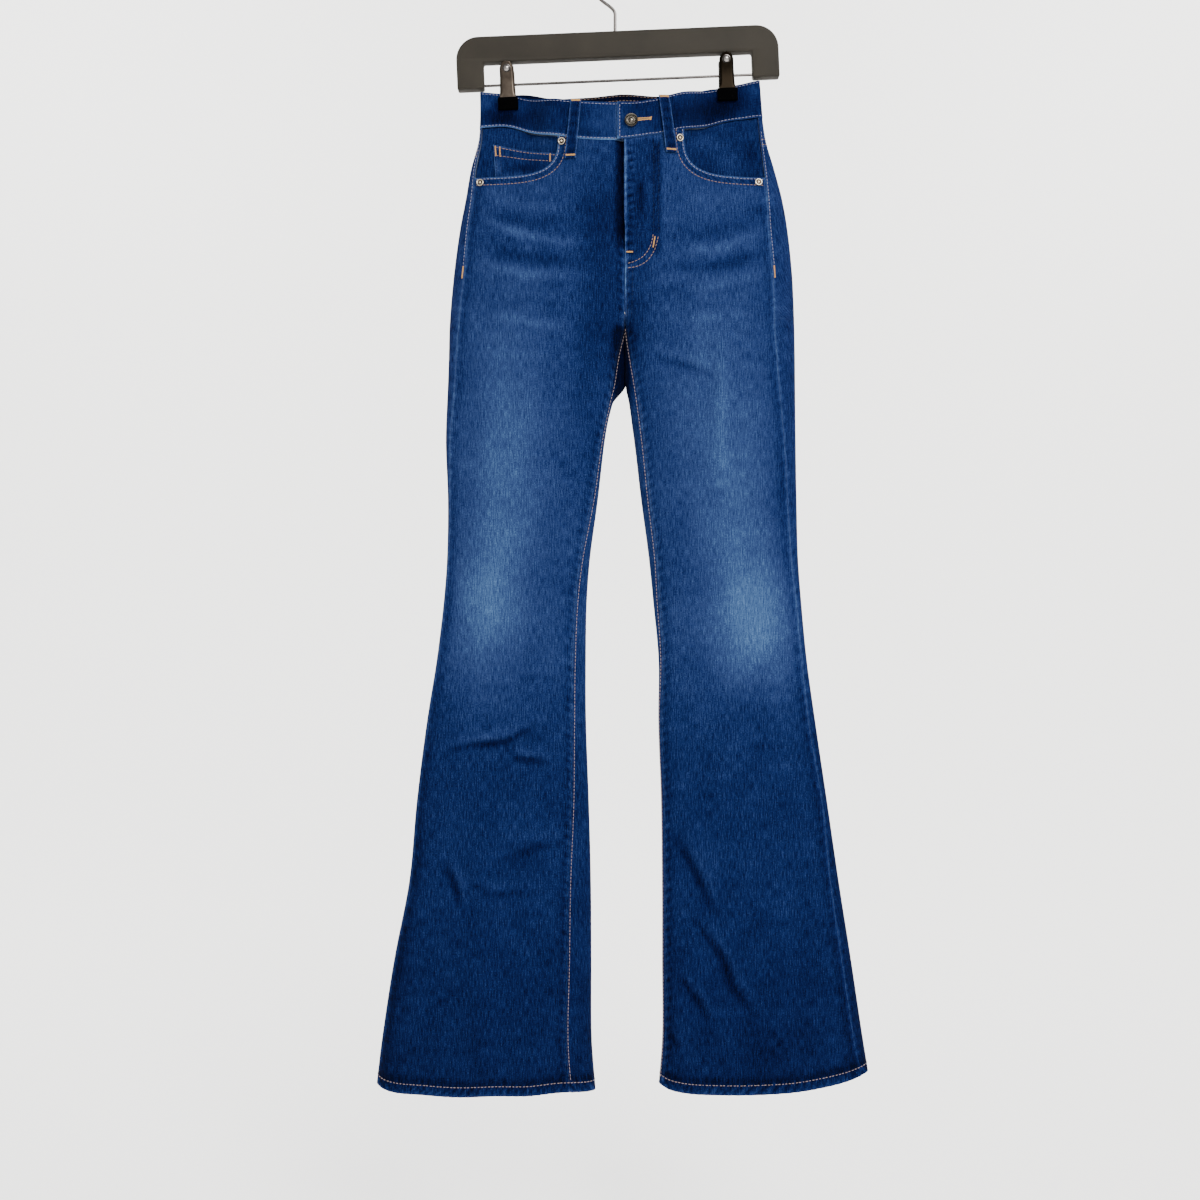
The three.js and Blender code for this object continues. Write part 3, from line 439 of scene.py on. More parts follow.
def cloth_point(side, angle, z):
    """A point of the cloth's outer face. The angle runs once round a flattened tube: 0 at the inner
    end, a quarter turn at the middle of the front, a half turn at the outer end. Across, it is the
    middle plus the half width times the cosine; in depth, the power 0.75 of the sine times the
    depth, closed at the clips, less the folds, plus the relief. Below the crotch the backs reach
    further in than the fronts, and meet behind them as far down as the legs part. There one inner
    fold is drawn a little behind the other, as the lap, so that no light passes between them."""
    angle, z = np.broadcast_arrays(np.asarray(angle, float), np.asarray(z, float))
    middle, half, half_back, sign = section(side, z)
    turn = np.mod(angle, 2 * math.pi)
    past = np.where(turn > math.pi, turn - 2 * math.pi, turn)
    seam = inseam_angle(side, z)
    to_back = smooth((seam - past) / (seam + 0.08))
    reach = np.where(abs(past) < QUARTER, mix(half, half_back, to_back), half)
    x = middle + sign * reach * np.cos(turn)
    bow = abs(np.sin(turn)) ** FLATNESS
    front = turn < math.pi
    full = np.where(front, front_depth(z), back_depth(z)) * bow
    depth = mix(full, np.minimum(full, CLIP_PINCH), pinch(x, z))
    folds = np.where(front, fold_depth(FOLDS, side, x, z), fold_depth(BACK_FOLDS, side, x, z))
    depth = depth + (relief(side, front, x, z) - folds) * smooth(bow / 0.8)
    y = np.where(front, -depth, depth)
    lap = smooth((-388 - z) / 16) * (1 - smooth((LEGS_PART_Z - 14 - z) / 40))
    lap = lap * (1 - smooth(abs(x - CENTRE_X) / 42))
    return np.stack([x + CROTCH_LAP * lap * smooth((y + 4) / 8), y, z], axis=-1)


def unit(vectors):
    """Vectors scaled to length 1."""
    return vectors / np.maximum(np.linalg.norm(vectors, axis=-1, keepdims=True), 1e-9)


def cloth_normal(side, angle, z):
    """The outward direction: the cross product of a small step round the tube and a small step up."""
    across = cloth_point(side, angle + 0.02, z) - cloth_point(side, angle - 0.02, z)
    up = cloth_point(side, angle, z + 1) - cloth_point(side, angle, z - 1)
    normal = unit(np.cross(across, up))
    return normal if side == "left" else -normal


def fly_lift(side, angle, x, z):
    """How far the left front is raised where it lies over the right one, as far as the curved stitching."""
    if side != "left":
        return np.zeros(np.shape(x))
    across = 1 - smooth((x - FLY_FLAT_TO) / (FLY_END_X - FLY_FLAT_TO))
    return np.where(angle > math.pi, 0, FLY_LIFT * across * smooth((z - (FLY_END_Z - 24)) / 18))


def on_cloth(side, angle, z, lift=0):
    """Points of the cloth's outer face moved out by a lift, and the directions out of it."""
    angle, z = np.broadcast_arrays(np.asarray(angle, float), np.asarray(z, float))
    point = cloth_point(side, angle, z)
    normal = cloth_normal(side, angle, z)
    total = lift + fly_lift(side, angle, point[..., 0], z)
    return point + normal * total[..., None], normal


def front_angle(side, x, z):
    """The angle at which the front passes x: the arc cosine of its share of the half width."""
    middle, half, _, sign = section(side, z)
    return np.arccos(np.clip(sign * (x - middle) / half, -1, 1))


def on_front(side, x, z, lift=0):
    """Points of the front at x and z."""
    x, z = np.broadcast_arrays(np.asarray(x, float), np.asarray(z, float))
    return on_cloth(side, front_angle(side, x, z), z, lift)


def on_back(side, x, z, lift=0):
    """Points of the back at x and z."""
    x, z = np.broadcast_arrays(np.asarray(x, float), np.asarray(z, float))
    return on_cloth(side, 2 * math.pi - front_angle(side, x, z), z, lift)


def step_angle(side, angle, z, distance):
    """The angle that lies a distance along the cloth from another."""
    chord = cloth_point(side, angle + 0.01, z) - cloth_point(side, angle - 0.01, z)
    rate = np.linalg.norm(chord, axis=-1) / 0.02
    return angle + distance / np.maximum(rate, 4)


def outseam_angle(side, z):
    """The angle of the side seam."""
    return front_angle(side, side_seam_x(side, z), z)


def inner_front_angle(side, z):
    """The front panel's inner edge: the fly and centre front, and below the crotch the inseam."""
    fly = smooth((z - (FLY_END_Z + 14)) / 20)
    under = CENTRE_X - GAP / 2 + FLY_UNDERLAP * fly
    over = mix(CENTRE_X + GAP / 2, FLY_EDGE_X, fly)
    centre = front_angle(side, under if side == "right" else over, z)
    return np.where(z > CROTCH_Z, centre, step_angle(side, inseam_angle(side, z), z, GAP / 2))


def hem_wall(points):
    """The cloth's thickness: one layer, and two more layers inside below the hem's stitching."""
    above = above_hem(points[..., 0], points[..., 2])
    return DENIM + HEM_EXTRA * (1 - smooth((above - HEM_HEIGHT) / 4))


def mouth_curve(side, share):
    """The pocket's mouth: a quarter of a rounded rectangle from under the waistband to the side seam."""
    x, z, reach, drop, roundness = MOUTHS[side]
    turn = share * QUARTER
    return x + reach * np.cos(turn) ** (2 / roundness), z - drop * np.sin(turn) ** (2 / roundness)


def mouth_edge(side, count):
    """Even steps along the mouth, from the waistband's seam to the side seam."""
    x, z = mouth_curve(side, np.linspace(0, 0.9999, 600))
    below = z < waist_seam["front"](x) - GAP
    x, z = np.append(x[below], side_seam_x(side, z[-1])), np.append(z[below], z[-1])
    z[0] = waist_seam["front"](x[0]) - GAP
    run = np.concatenate([[0], np.cumsum(np.hypot(np.diff(x), np.diff(z)))])
    even = np.linspace(0, run[-1], count)
    return np.interp(even, run, x), np.interp(even, run, z)


def add_object(name, mesh, material, sharp):
    """An object at the origin, on the part's one body, shaded smooth except at sharp edges."""
    mesh.materials.append(material)
    mesh.shade_smooth()
    mesh.set_sharp_from_angle(angle=math.radians(sharp))
    made = bpy.data.objects.new(name, mesh)
    bpy.context.scene.collection.objects.link(made)
    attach(made, "root")
    return made


def make_object(name, vertices, faces, material, point_values=(), uv=None, sharp=40):
    """An object from vertices in millimetres, with named values on its points and a UV map in metres."""
    mesh = bpy.data.meshes.new(name)
    mesh.from_pydata((np.asarray(vertices) * 0.001).tolist(), [], np.asarray(faces).tolist())
    for label, values in dict(point_values).items():
        layer = mesh.attributes.new(label, "FLOAT", "POINT")
        layer.data.foreach_set("value", np.asarray(values, np.float32).ravel())
    if uv is not None:
        corners = np.empty(len(mesh.loops), np.int32)
        mesh.loops.foreach_get("vertex_index", corners)
        in_metres = (uv[corners] * 0.001).astype(np.float32)
        mesh.uv_layers.new(name="cloth").data.foreach_set("uv", in_metres.ravel())
    return add_object(name, mesh, material, sharp)


def shares(rows, columns):
    """Even shares from 0 to 1 across the columns of a grid and down its rows."""
    return np.linspace(0, 1, columns + 1)[None, :], np.linspace(0, 1, rows + 1)[:, None]


def grid_faces(rows, columns, start=0):
    """The four corners of each cell of a grid of points, row after row."""
    corner = (np.arange(rows)[:, None] * (columns + 1) + np.arange(columns)[None, :]).ravel() + start
    return np.stack([corner, corner + 1, corner + columns + 2, corner + columns + 1], axis=1)


def rim_loop(rows, columns):
    """The points along a grid's edge, once round."""
    wide = columns + 1
    return np.concatenate([np.arange(columns), np.arange(rows) * wide + columns,
                           rows * wide + np.arange(columns, 0, -1), np.arange(rows, 0, -1) * wide])


def cloth_piece(name, points, normals, wall, wash_and_shade, material, grain=None, weft=1.0, inner_wash=None):
    """A sheet of cloth with a wall: the outer grid, the same grid set in by the wall along the
    normals, and a rim between them. The UV map runs along each row from its middle, and up. Weft is
    how far the inner face shows the cloth's white wrong side, and it may have a wash of its own."""
    rows, columns = points.shape[0] - 1, points.shape[1] - 1
    inner = points - normals * np.broadcast_to(wall, points.shape[:2])[..., None]
    count = points.shape[0] * points.shape[1]
    outside, rim = grid_faces(rows, columns), rim_loop(rows, columns)
    after = np.roll(rim, -1)
    sides = np.stack([after, rim, rim + count, after + count], axis=1)
    inside = grid_faces(rows, columns, count)[:, ::-1]
    faces = np.concatenate([outside, inside, sides])
    middle = (rows // 2, columns // 2)
    edge_a = points[middle[0], middle[1] + 1] - points[middle]
    edge_b = points[middle[0] + 1, middle[1]] - points[middle]
    if np.dot(np.cross(edge_a, edge_b), normals[middle]) < 0:
        faces = faces[:, ::-1]
    steps = np.linalg.norm(np.diff(points, axis=1), axis=-1)
    across = np.concatenate([np.zeros((rows + 1, 1)), np.cumsum(steps, axis=1)], axis=1)
    across -= across[:, middle[1]][:, None]
    uv = np.stack([across, points[..., 2]], axis=-1) if grain is None else grain
    vertices = np.concatenate([points.reshape(-1, 3), inner.reshape(-1, 3)])
    values = {"wash_and_shade": np.tile(np.broadcast_to(wash_and_shade, points.shape[:2]).ravel(), 2),
              "inside": np.repeat([0.0, weft], count)}
    if inner_wash is not None:
        values["wash_and_shade"][count:] = np.broadcast_to(inner_wash, points.shape[:2]).ravel()
    return make_object(name, vertices, faces, material, values, np.tile(uv.reshape(-1, 2), (2, 1)))


# The places that wear and washing leave paler, and darker places where the amount is negative: place, half
# width, half height and amount.
FRONT_WASH = [
    (-118, -480, 46, 120, 0.11), (-128, -615, 44, 110, 0.19), (-146, -738, 38, 72, 0.27),
    (113, -490, 48, 120, 0.13), (136, -620, 44, 110, 0.16), (160, -752, 48, 72, 0.35),
    (-18, -300, 30, 62, -0.20), (-14, -415, 30, 62, -0.16), (-32, -520, 22, 90, -0.08),
    (24, -395, 20, 70, -0.12), (172, -268, 12, 14, 0.14), (166, -283, 16, 7, -0.12),
    (29, -270, 5, 24, -0.20), (195, -560, 16, 190, -0.09), (-188, -560, 14, 170, 0.05),
    (155, -850, 40, 30, -0.05), (178, -1235, 40, 40, -0.06),
]
BACK_WASH = [
    (-85, -330, 60, 80, 0.14), (105, -330, 60, 80, 0.14), (-110, -560, 50, 150, 0.16),
    (125, -560, 50, 150, 0.16), (-135, -740, 48, 70, 0.14), (145, -740, 48, 70, 0.14),
    (11, -330, 20, 90, -0.10),
]
# The whiskers, soft pale and dark arcs that wear leaves across the hips: amount, half width, points.
FRONT_WHISKERS = [
    (0.07, 9, (-155, -260), (-130, -274), (-98, -280), (-60, -276)),
    (-0.13, 9, (-140, -288), (-103, -299), (-60, -301)),
    (0.15, 5, (-158, -280), (-148, -293), (-122, -307), (-95, -316), (-60, -321), (-20, -324)),
    (-0.16, 8, (-151, -325), (-103, -339), (-45, -345)),
    (0.12, 7, (-159, -344), (-122, -354), (-71, -360), (-24, -358)),
    (-0.09, 5, (-82, -368), (-50, -372)),
    (-0.08, 8, (-135, -388), (-60, -395)),
    (0.10, 6, (-138, -404), (-103, -413), (-50, -415)),
    (0.05, 12, (49, -268), (97, -270), (138, -268), (173, -272)),
    (-0.11, 9, (70, -312), (120, -308), (165, -290)),
    (0.11, 6, (73, -332), (111, -330), (143, -318), (175, -308)),
    (-0.10, 8, (60, -348), (110, -350), (165, -334)),
    (0.09, 8, (55, -368), (97, -372), (132, -366), (173, -352)),
    (-0.06, 4, (102, -382), (138, -374)),
    (0.06, 7, (59, -410), (108, -408), (158, -398)),
]
BACK_WHISKERS = [
    (0.12, 7, (-150, -440), (-95, -456), (-35, -452)), (-0.08, 6, (-150, -454), (-95, -470), (-35, -466)),
    (0.12, 7, (55, -452), (110, -456), (165, -440)), (-0.08, 6, (55, -466), (110, -470), (165, -454)),
]


def spots(table, x, z):
    """The sum of bell-shaped places."""
    return sum(amount * np.exp(-((x - at_x) / wide) ** 2 - ((z - at_z) / high) ** 2)
               for at_x, at_z, wide, high, amount in table)


def streaks(table, x, z):
    """The sum of soft lines: a bell across each, fading out towards its ends."""
    x, z = np.broadcast_arrays(x, z)
    total = np.zeros(x.shape)
    for amount, width, *line in table:
        near, best, _, along = beside_line(line, 3 * width, x, z)
        fade = np.sin(math.pi * np.clip(along, 0.02, 0.98)) ** 0.6
        total[near] += amount * fade * bell(best / width)
    return total


def cloth_wash_and_shade(side, angle, points):
    """How far the dye is worn away, from 0 to 1, with painted shade and light added: a base that falls below
    the knee, the pale and dark places and whiskers, painted shade at the ends of the flattened tube and in
    the wedge between the legs, a dark fly with painted shade in the trench beside it, painted shade in the
    creases' troughs and painted light on their swells, a painted shadow above the hem, and pale crests of
    the puckers, seam edges and hem."""
    x, z = points[..., 0], points[..., 2]
    turn = np.mod(angle, 2 * math.pi)
    front = turn < math.pi
    base = 0.42 - 0.13 * smooth((-760 - z) / 200) - 0.07 * smooth((-1000 - z) / 220)
    pale = np.where(front, spots(FRONT_WASH, x, z) + streaks(FRONT_WHISKERS, x, z),
                    spots(BACK_WASH, x, z) + streaks(BACK_WHISKERS, x, z))
    ends = smooth(abs(np.sin(turn)) / 0.75)
    out_gap, in_gap = seam_gaps(side, x, z)
    edges = 0.22 * bell(out_gap / 1.5) + 0.16 * bell((in_gap - 1.5) / 1.5)
    allowance = -0.07 * bell((in_gap - 6) / 4) - 0.06 * bell((out_gap - 6) / 4)
    height = above_hem(x, z)
    # At the hem: a pale worn bottom edge, and a painted shadow in the band just above the hem's row.
    hem = 0.18 * smooth((5 - height) / 5) - 0.15 * bell((height - HEM_HEIGHT - 4) / 5)
    # Painted shade in the wedge between the legs, below the crotch.
    crotch_shade = bell((x - 8) / 9) * smooth((-408 - z) / 14) * smooth((z + 520) / 22)
    # Painted shade where the flattened tube turns away at its ends, stronger at the outer end.
    end_shade = np.where(abs(np.cos(turn / 2)) > 0.7, 0.03, 0.12) * (1 - ends)
    tone = base + pale * ends - end_shade - 0.6 * crotch_shade + hem + 0.13 * puckers(side, front, x, z)
    tone = tone + np.where(front, (edges + allowance) * smooth((-205 - z) / 20), 0)
    creases = np.where(front, crease_height(CREASES, x, z), crease_height(BACK_CREASES, x, z))
    # The creases' troughs are painted darker as shade and their swells paler as painted light, and the fly's
    # trench is painted darker as shade.
    tone = tone + 0.085 * creases - 0.5 * fly_trench(side, front, x, z) + fly_wear(side, front, x, z)
    return np.clip(tone, 0, 1)


# Worn denim from raw indigo to faded, as stops of wash and colour.
DYE = [(0.0, (0.0003, 0.0008, 0.0062)), (0.12, (0.0008, 0.0022, 0.0195)), (0.25, (0.0021, 0.0057, 0.0355)),
       (0.36, (0.0046, 0.0115, 0.0560)), (0.45, (0.0082, 0.0180, 0.0690)), (0.56, (0.0150, 0.0310, 0.0950)),
       (0.66, (0.0225, 0.0440, 0.1180)), (0.80, (0.0350, 0.0740, 0.1630)), (1.0, (0.0720, 0.1450, 0.2900))]


def add_bump(tree, shader, height, strength, distance):
    """A fine relief on a surface, from a height."""
    bump = tree.nodes.new("ShaderNodeBump")
    bump.inputs["Strength"].default_value = strength
    bump.inputs["Distance"].default_value = distance
    tree.links.new(height, bump.inputs["Height"])
    tree.links.new(bump.outputs["Normal"], shader.inputs["Normal"])


def add_noise(tree, place, scale, detail):
    """The value of a noise texture at a place."""
    texture = tree.nodes.new("ShaderNodeTexNoise")
    texture.inputs["Scale"].default_value = scale
    texture.inputs["Detail"].default_value = detail
    tree.links.new(place, texture.inputs["Vector"])
    return texture.outputs["Fac"]


def add_colour(tree, shader, value, low, high, dark, bright):
    """A surface colour that goes from dark to bright as a value goes from low to high."""
    ramp = tree.nodes.new("ShaderNodeValToRGB")
    stops = ramp.color_ramp.elements
    stops[0].position, stops[1].position = low, high
    stops[0].color, stops[1].color = (*dark, 1), (*bright, 1)
    tree.links.new(value, ramp.inputs["Fac"])
    tree.links.new(ramp.outputs["Color"], shader.inputs["Base Color"])


def add_roughness(tree, shader, value, least, most):
    """A roughness that goes from least to most as a value goes from 0 to 1."""
    rough = tree.nodes.new("ShaderNodeMapRange")
    rough.inputs["To Min"].default_value = least
    rough.inputs["To Max"].default_value = most
    tree.links.new(value, rough.inputs["Value"])
    tree.links.new(rough.outputs["Result"], shader.inputs["Roughness"])


def denim_material(name, shift=0.0, grain=1.0):
    """Twill denim. The wash value, which also carries the pieces' painted shade and light, stirred by slubs
    that run along the warp and by broad mottling, picks the colour from the dye's stops. Fine diagonal
    twill lines and the slubs give the bump. The inside shows the white weft."""
    material, tree, shader = new_material(name)

    def node(kind, **settings):
        made = tree.nodes.new(kind)
        for key, value in settings.items():
            setattr(made, key, value)
        return made

    def maths(operation, first, second, clamp=False):
        made = node("ShaderNodeMath", operation=operation, use_clamp=clamp)
        for socket, value in zip(made.inputs, (first, second)):
            if isinstance(value, (int, float)):
                socket.default_value = value
            else:
                tree.links.new(value, socket)
        return made.outputs[0]

    place = node("ShaderNodeUVMap", uv_map="cloth").outputs["UV"]

    def stretched(across, along, detail=2.0, turn=0.0):
        mapping = node("ShaderNodeMapping")
        mapping.inputs["Scale"].default_value = (across, along, 1)
        mapping.inputs["Rotation"].default_value = (0, 0, turn)
        tree.links.new(place, mapping.inputs["Vector"])
        texture = node("ShaderNodeTexNoise", noise_dimensions="2D")
        texture.inputs["Scale"].default_value = 1.0
        texture.inputs["Detail"].default_value = detail
        tree.links.new(mapping.outputs[0], texture.inputs["Vector"])
        return texture.outputs["Fac"]

    slubs = stretched(820, 90, 3.0)
    threads = stretched(1500, 600, 1.0)
    mottle = stretched(34, 22, 3.0)
    mapping = node("ShaderNodeMapping")
    mapping.inputs["Rotation"].default_value = (0, 0, math.radians(-28))
    tree.links.new(place, mapping.inputs["Vector"])
    twill = node("ShaderNodeTexWave", wave_type="BANDS", bands_direction="X")
    twill.inputs["Scale"].default_value = 420
    twill.inputs["Distortion"].default_value = 1.2
    twill.inputs["Detail"].default_value = 1.0
    tree.links.new(mapping.outputs[0], twill.inputs["Vector"])

    # The wash together with the painted shade and light that the pieces carry.
    wash_and_shade = node("ShaderNodeAttribute", attribute_name="wash_and_shade").outputs["Fac"]

    def stir(value, amount):
        return maths("MULTIPLY", maths("SUBTRACT", value, 0.5), amount)

    stirred = maths("ADD", stir(slubs, 0.62 * grain), stir(threads, 0.56 * grain))
    stirred = maths("ADD", stirred, stir(mottle, 0.16))
    stirred = maths("ADD", stirred, stir(twill.outputs["Fac"], 0.10))
    worn = maths("ADD", maths("ADD", wash_and_shade, shift), stirred, clamp=True)
    ramp = node("ShaderNodeValToRGB")
    stops = ramp.color_ramp.elements
    stops[0].position, stops[1].position = DYE[0][0], DYE[-1][0]
    stops[0].color, stops[1].color = (*DYE[0][1], 1), (*DYE[-1][1], 1)
    for at, colour in DYE[1:-1]:
        stops.new(at).color = (*colour, 1)
    tree.links.new(worn, ramp.inputs["Fac"])
    weft = node("ShaderNodeMix", data_type="RGBA")
    weft.inputs["B"].default_value = (0.16, 0.20, 0.27, 1)
    inside = node("ShaderNodeAttribute", attribute_name="inside").outputs["Fac"]
    tree.links.new(maths("MULTIPLY", inside, maths("ADD", slubs, 0.35)), weft.inputs["Factor"])
    tree.links.new(ramp.outputs["Color"], weft.inputs["A"])
    tree.links.new(weft.outputs["Result"], shader.inputs["Base Color"])
    tree.links.new(maths("ADD", maths("MULTIPLY", threads, 0.2), 0.76), shader.inputs["Roughness"])
    height = maths("ADD", maths("MULTIPLY", twill.outputs["Fac"], 0.5), slubs)
    add_bump(tree, shader, height, 0.7, 0.0003)
    shader.inputs["Specular IOR Level"].default_value = 0.02
    shader.inputs["Sheen Weight"].default_value = 0.012
    shader.inputs["Sheen Roughness"].default_value = 0.5
    shader.inputs["Sheen Tint"].default_value = (0.55, 0.66, 0.9, 1)
    return material


panel_denim = denim_material("denim_panel")

FRONT_ROWS, FRONT_COLUMNS, MOUTH_ROWS, MOUTH_SPREAD_Z = 372, 62, 44, -332


def front_panel(side):
    """The points of a front. Each row runs from the inner edge to a point of the outer edge, which
    follows the pocket's mouth and then the side seam. The top row follows the waistband's seam."""
    u = np.linspace(0, 1, FRONT_COLUMNS + 1)[None, :]
    edge_x, edge_z = mouth_edge(side, MOUTH_ROWS + 1)
    lower = np.linspace(0, 1, FRONT_ROWS - MOUTH_ROWS + 1)[1:]
    outer_z = np.concatenate([edge_z, mix(edge_z[-1], HEM_Z, lower)])
    seam_angle = step_angle(side, outseam_angle(side, outer_z), outer_z, -GAP / 2)
    mouth_angle = front_angle(side, edge_x, edge_z)
    outer_angle = np.concatenate([mouth_angle[:-1], seam_angle[MOUTH_ROWS:]])
    inner_top = waist_seam["front"](FLY_EDGE_X) - GAP
    inner_z = np.concatenate([np.linspace(inner_top, MOUTH_SPREAD_Z, MOUTH_ROWS + 1),
                              mix(MOUTH_SPREAD_Z, HEM_Z, lower)])
    inner_angle = inner_front_angle(side, inner_z)
    angle = mix(inner_angle[:, None], outer_angle[:, None], u)
    z = mix(inner_z[:, None], outer_z[:, None], u)
    for _ in range(3):
        x = cloth_point(side, angle[0], z[0])[..., 0]
        share = (1 - np.clip(np.arange(FRONT_ROWS + 1) / MOUTH_ROWS, 0, 1)) ** 2
        z = z + share[:, None] * (waist_seam["front"](x) - GAP - z[0])[None, :]
    x = cloth_point(side, angle, z)[..., 0]
    z = z + hem_drop(x) * smooth((HEM_Z + 80 - z) / 80)
    points, normals = on_cloth(side, angle, z)
    return points, normals, angle


THREAD_PALE = (0.17, 0.175, 0.24)
THREAD_TAN = (0.20, 0.135, 0.10)
THREAD_WORN = (0.23, 0.18, 0.175)
THREAD_GOLD = (0.40, 0.22, 0.075)
THREAD_NAVY = (0.0035, 0.008, 0.035)


def thread_material(name, colour):
    """Spun thread: fine plies across each stitch stir the colour and the bump."""
    material, tree, shader = new_material(name)
    plies = add_noise(tree, tree.nodes.new("ShaderNodeTexCoord").outputs["Object"], 2600, 2)
    add_colour(tree, shader, plies, 0.3, 0.7, [0.62 * c for c in colour], [min(1.0, 1.3 * c) for c in colour])
    add_bump(tree, shader, plies, 0.5, 0.0001)
    shader.inputs["Roughness"].default_value = 0.8
    shader.inputs["Specular IOR Level"].default_value = 0.08
    return material


pale_thread = thread_material("thread_pale", THREAD_PALE)
tan_thread = thread_material("thread_tan", THREAD_TAN)
worn_thread = thread_material("thread_worn", THREAD_WORN)
gold_thread = thread_material("thread_gold", THREAD_GOLD)
navy_thread = thread_material("thread_navy", THREAD_NAVY)

STITCH_PITCH, STITCH_SHARE, THREAD_RADIUS = 4.0, 0.8, 0.42
STITCH_RINGS = np.array([0.0, 0.22, 0.5, 0.78, 1.0])
STITCH_WIDTH = np.array([0.45, 0.95, 1.0, 0.95, 0.45])
STITCH_RISE = np.array([-0.25, 0.12, 0.28, 0.12, -0.25])


def ring_walls(rings, sides):
    """The four corners of each cell between rings of points, each ring closed on itself."""
    ring, spot = np.meshgrid(np.arange(rings - 1), np.arange(sides), indexing="ij")
    after = (spot + 1) % sides
    return np.stack([ring * sides + spot, ring * sides + after, (ring + 1) * sides + after,
                     (ring + 1) * sides + spot], axis=-1).reshape(-1, 4)


def stitch_mesh(starts, ends, normals, radius):
    """Stitches between given ends: each is five rings round a line that rises out of the cloth at its
    middle and dips into it at both ends. Six points lie on each ring."""
    count = len(starts)
    along = ends - starts
    line = (starts[:, None, :] + along[:, None, :] * STITCH_RINGS[None, :, None]
            + normals[:, None, :] * (STITCH_RISE * radius / THREAD_RADIUS)[None, :, None])
    side = unit(np.cross(along, normals))
    turn = np.arange(6) * math.pi / 3
    around = (np.cos(turn)[None, None, :, None] * side[:, None, None, :]
              + np.sin(turn)[None, None, :, None] * normals[:, None, None, :])
    vertices = line[:, :, None, :] + around * (radius * STITCH_WIDTH)[None, :, None, None]
    caps = np.array([[3, 2, 1, 0], [5, 4, 3, 0], [24, 25, 26, 27], [24, 27, 28, 29]])
    one = np.concatenate([ring_walls(5, 6)[:, ::-1], caps[:, ::-1]])
    faces = (one[None] + (np.arange(count) * 30)[:, None, None]).reshape(-1, 4)
    return vertices.reshape(-1, 3), faces


def run_stitches(points, normals):
    """The ends and directions of stitches at an even pitch along a line of points."""
    run = np.concatenate([[0], np.cumsum(np.linalg.norm(np.diff(points, axis=0), axis=1))])
    count = max(int(run[-1] / STITCH_PITCH), 1)
    begin = np.arange(count) * run[-1] / count
    end = begin + STITCH_SHARE * run[-1] / count

    def at(values, where):
        return np.stack([np.interp(where, run, values[:, i]) for i in range(3)], axis=1)

    return at(points, begin), at(points, end), unit(at(normals, (begin + end) / 2))


def bar_tack(start, end, normals, width=2.2, pitch=0.62):
    """A bar-tack: short stitches side by side across a line from start to end."""
    count = max(int(np.linalg.norm(end - start) / pitch), 2)
    share = (np.arange(count) + 0.5)[:, None] / count
    line = mix(start[None, :], end[None, :], share)
    out = unit(mix(normals[0][None, :], normals[1][None, :], share))
    across = unit(np.cross(end - start, out)) * width / 2
    lean = unit(end - start)[None, :] * pitch * 0.5
    return line - across - lean, line + across + lean, out


def tack(name, bars, thread, radius=THREAD_RADIUS):
    """One piece from several sets of stitches, each its starts, ends and directions."""
    parts = [np.concatenate(values) for values in zip(*bars)]
    vertices, faces = stitch_mesh(*parts, radius)
    made = make_object(name, vertices, faces, thread, sharp=80)


def sew(name, lines, thread, radius=THREAD_RADIUS):
    """One piece of stitching from several lines, each a pair of points and normals."""
    tack(name, [run_stitches(points, normals) for points, normals in lines], thread, radius)


def fly_line(points):
    """A line on the left front through points of x and z, bent smoothly."""
    points = np.array(points, float)
    run = np.concatenate([[0], np.cumsum(np.hypot(*np.diff(points, axis=0).T))])
    where = np.linspace(0, run[-1], 260)
    x, z = curve_through(run, points[:, 0])(where), curve_through(run, points[:, 1])(where)
    return on_front("left", x, z)


def beside_mouth(side, distance):
    """A line at a distance from the mouth's edge, towards the front's middle and down."""
    x, z = mouth_edge(side, 200)
    x, z = x[:-2], z[:-2]
    dx, dz = np.gradient(x), np.gradient(z)
    length = np.hypot(dx, dz)
    away_x, away_z = -TOWARD[side] * dz / length, TOWARD[side] * dx / length
    return on_front(side, x + away_x * distance, z + away_z * distance)


def mouth_wear(side, x, z):
    """How the wash changes at a pocket's mouth: a pale rubbed edge, and a dark band with pale ripples
    between its two rows of stitches."""
    near, beside, _, _ = beside_line(np.stack(mouth_edge(side, 60), axis=-1), 16, x, z)
    edge = np.zeros(x.shape)
    edge[near] = (0.30 * bell(beside / 1.3) - 0.12 * bell((beside - 5.5) / 2.6)
                  + 0.11 * bell((beside - 5.5) / 3.2) * ripple(x[near] * 1.3 + z[near] * 1.5, 2))
    return edge


for side in ("right", "left"):
    points, normals, angle = front_panel(side)
    tone = cloth_wash_and_shade(side, angle, points) + mouth_wear(side, points[..., 0], points[..., 2])
    piece = cloth_piece("denim_front_" + side, points, normals, hem_wall(points), np.clip(tone, 0, 1),
                        panel_denim, grain=points[..., [0, 2]])
    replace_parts(piece, "front_" + side)

# The pocket facings: a thin layer of the same denim behind each mouth, and on the right a coin pocket
# with a doubled top edge, sewn to the facing before the mouth is closed over both.
FACING_WALL, FACING_DEPTH, FACING_PAST, FACING_TOP, FACING_FOOT = 1.1, 4, 14, -190, -266
COIN_LEFT, COIN_LEAN, COIN_RIGHT, COIN_TOP_LEFT, COIN_TOP_RIGHT, COIN_FOOT, COIN_DEPTH = (
    -140, 4, -66, -204, -220, -256, 2.1)


def facing_depth(side, x, z):
    """How deep the facing lies behind the front's outer face: close at the side seam and at a clip,
    and deeper between."""
    seam_x = side_seam_x(side, z)
    free = smooth(abs(x - seam_x - TOWARD[side] * 2 * GAP) / 14) * (1 - smooth((pinch(x, z) - 0.8) / 0.15))
    return mix(DENIM + GAP, FACING_DEPTH, free)


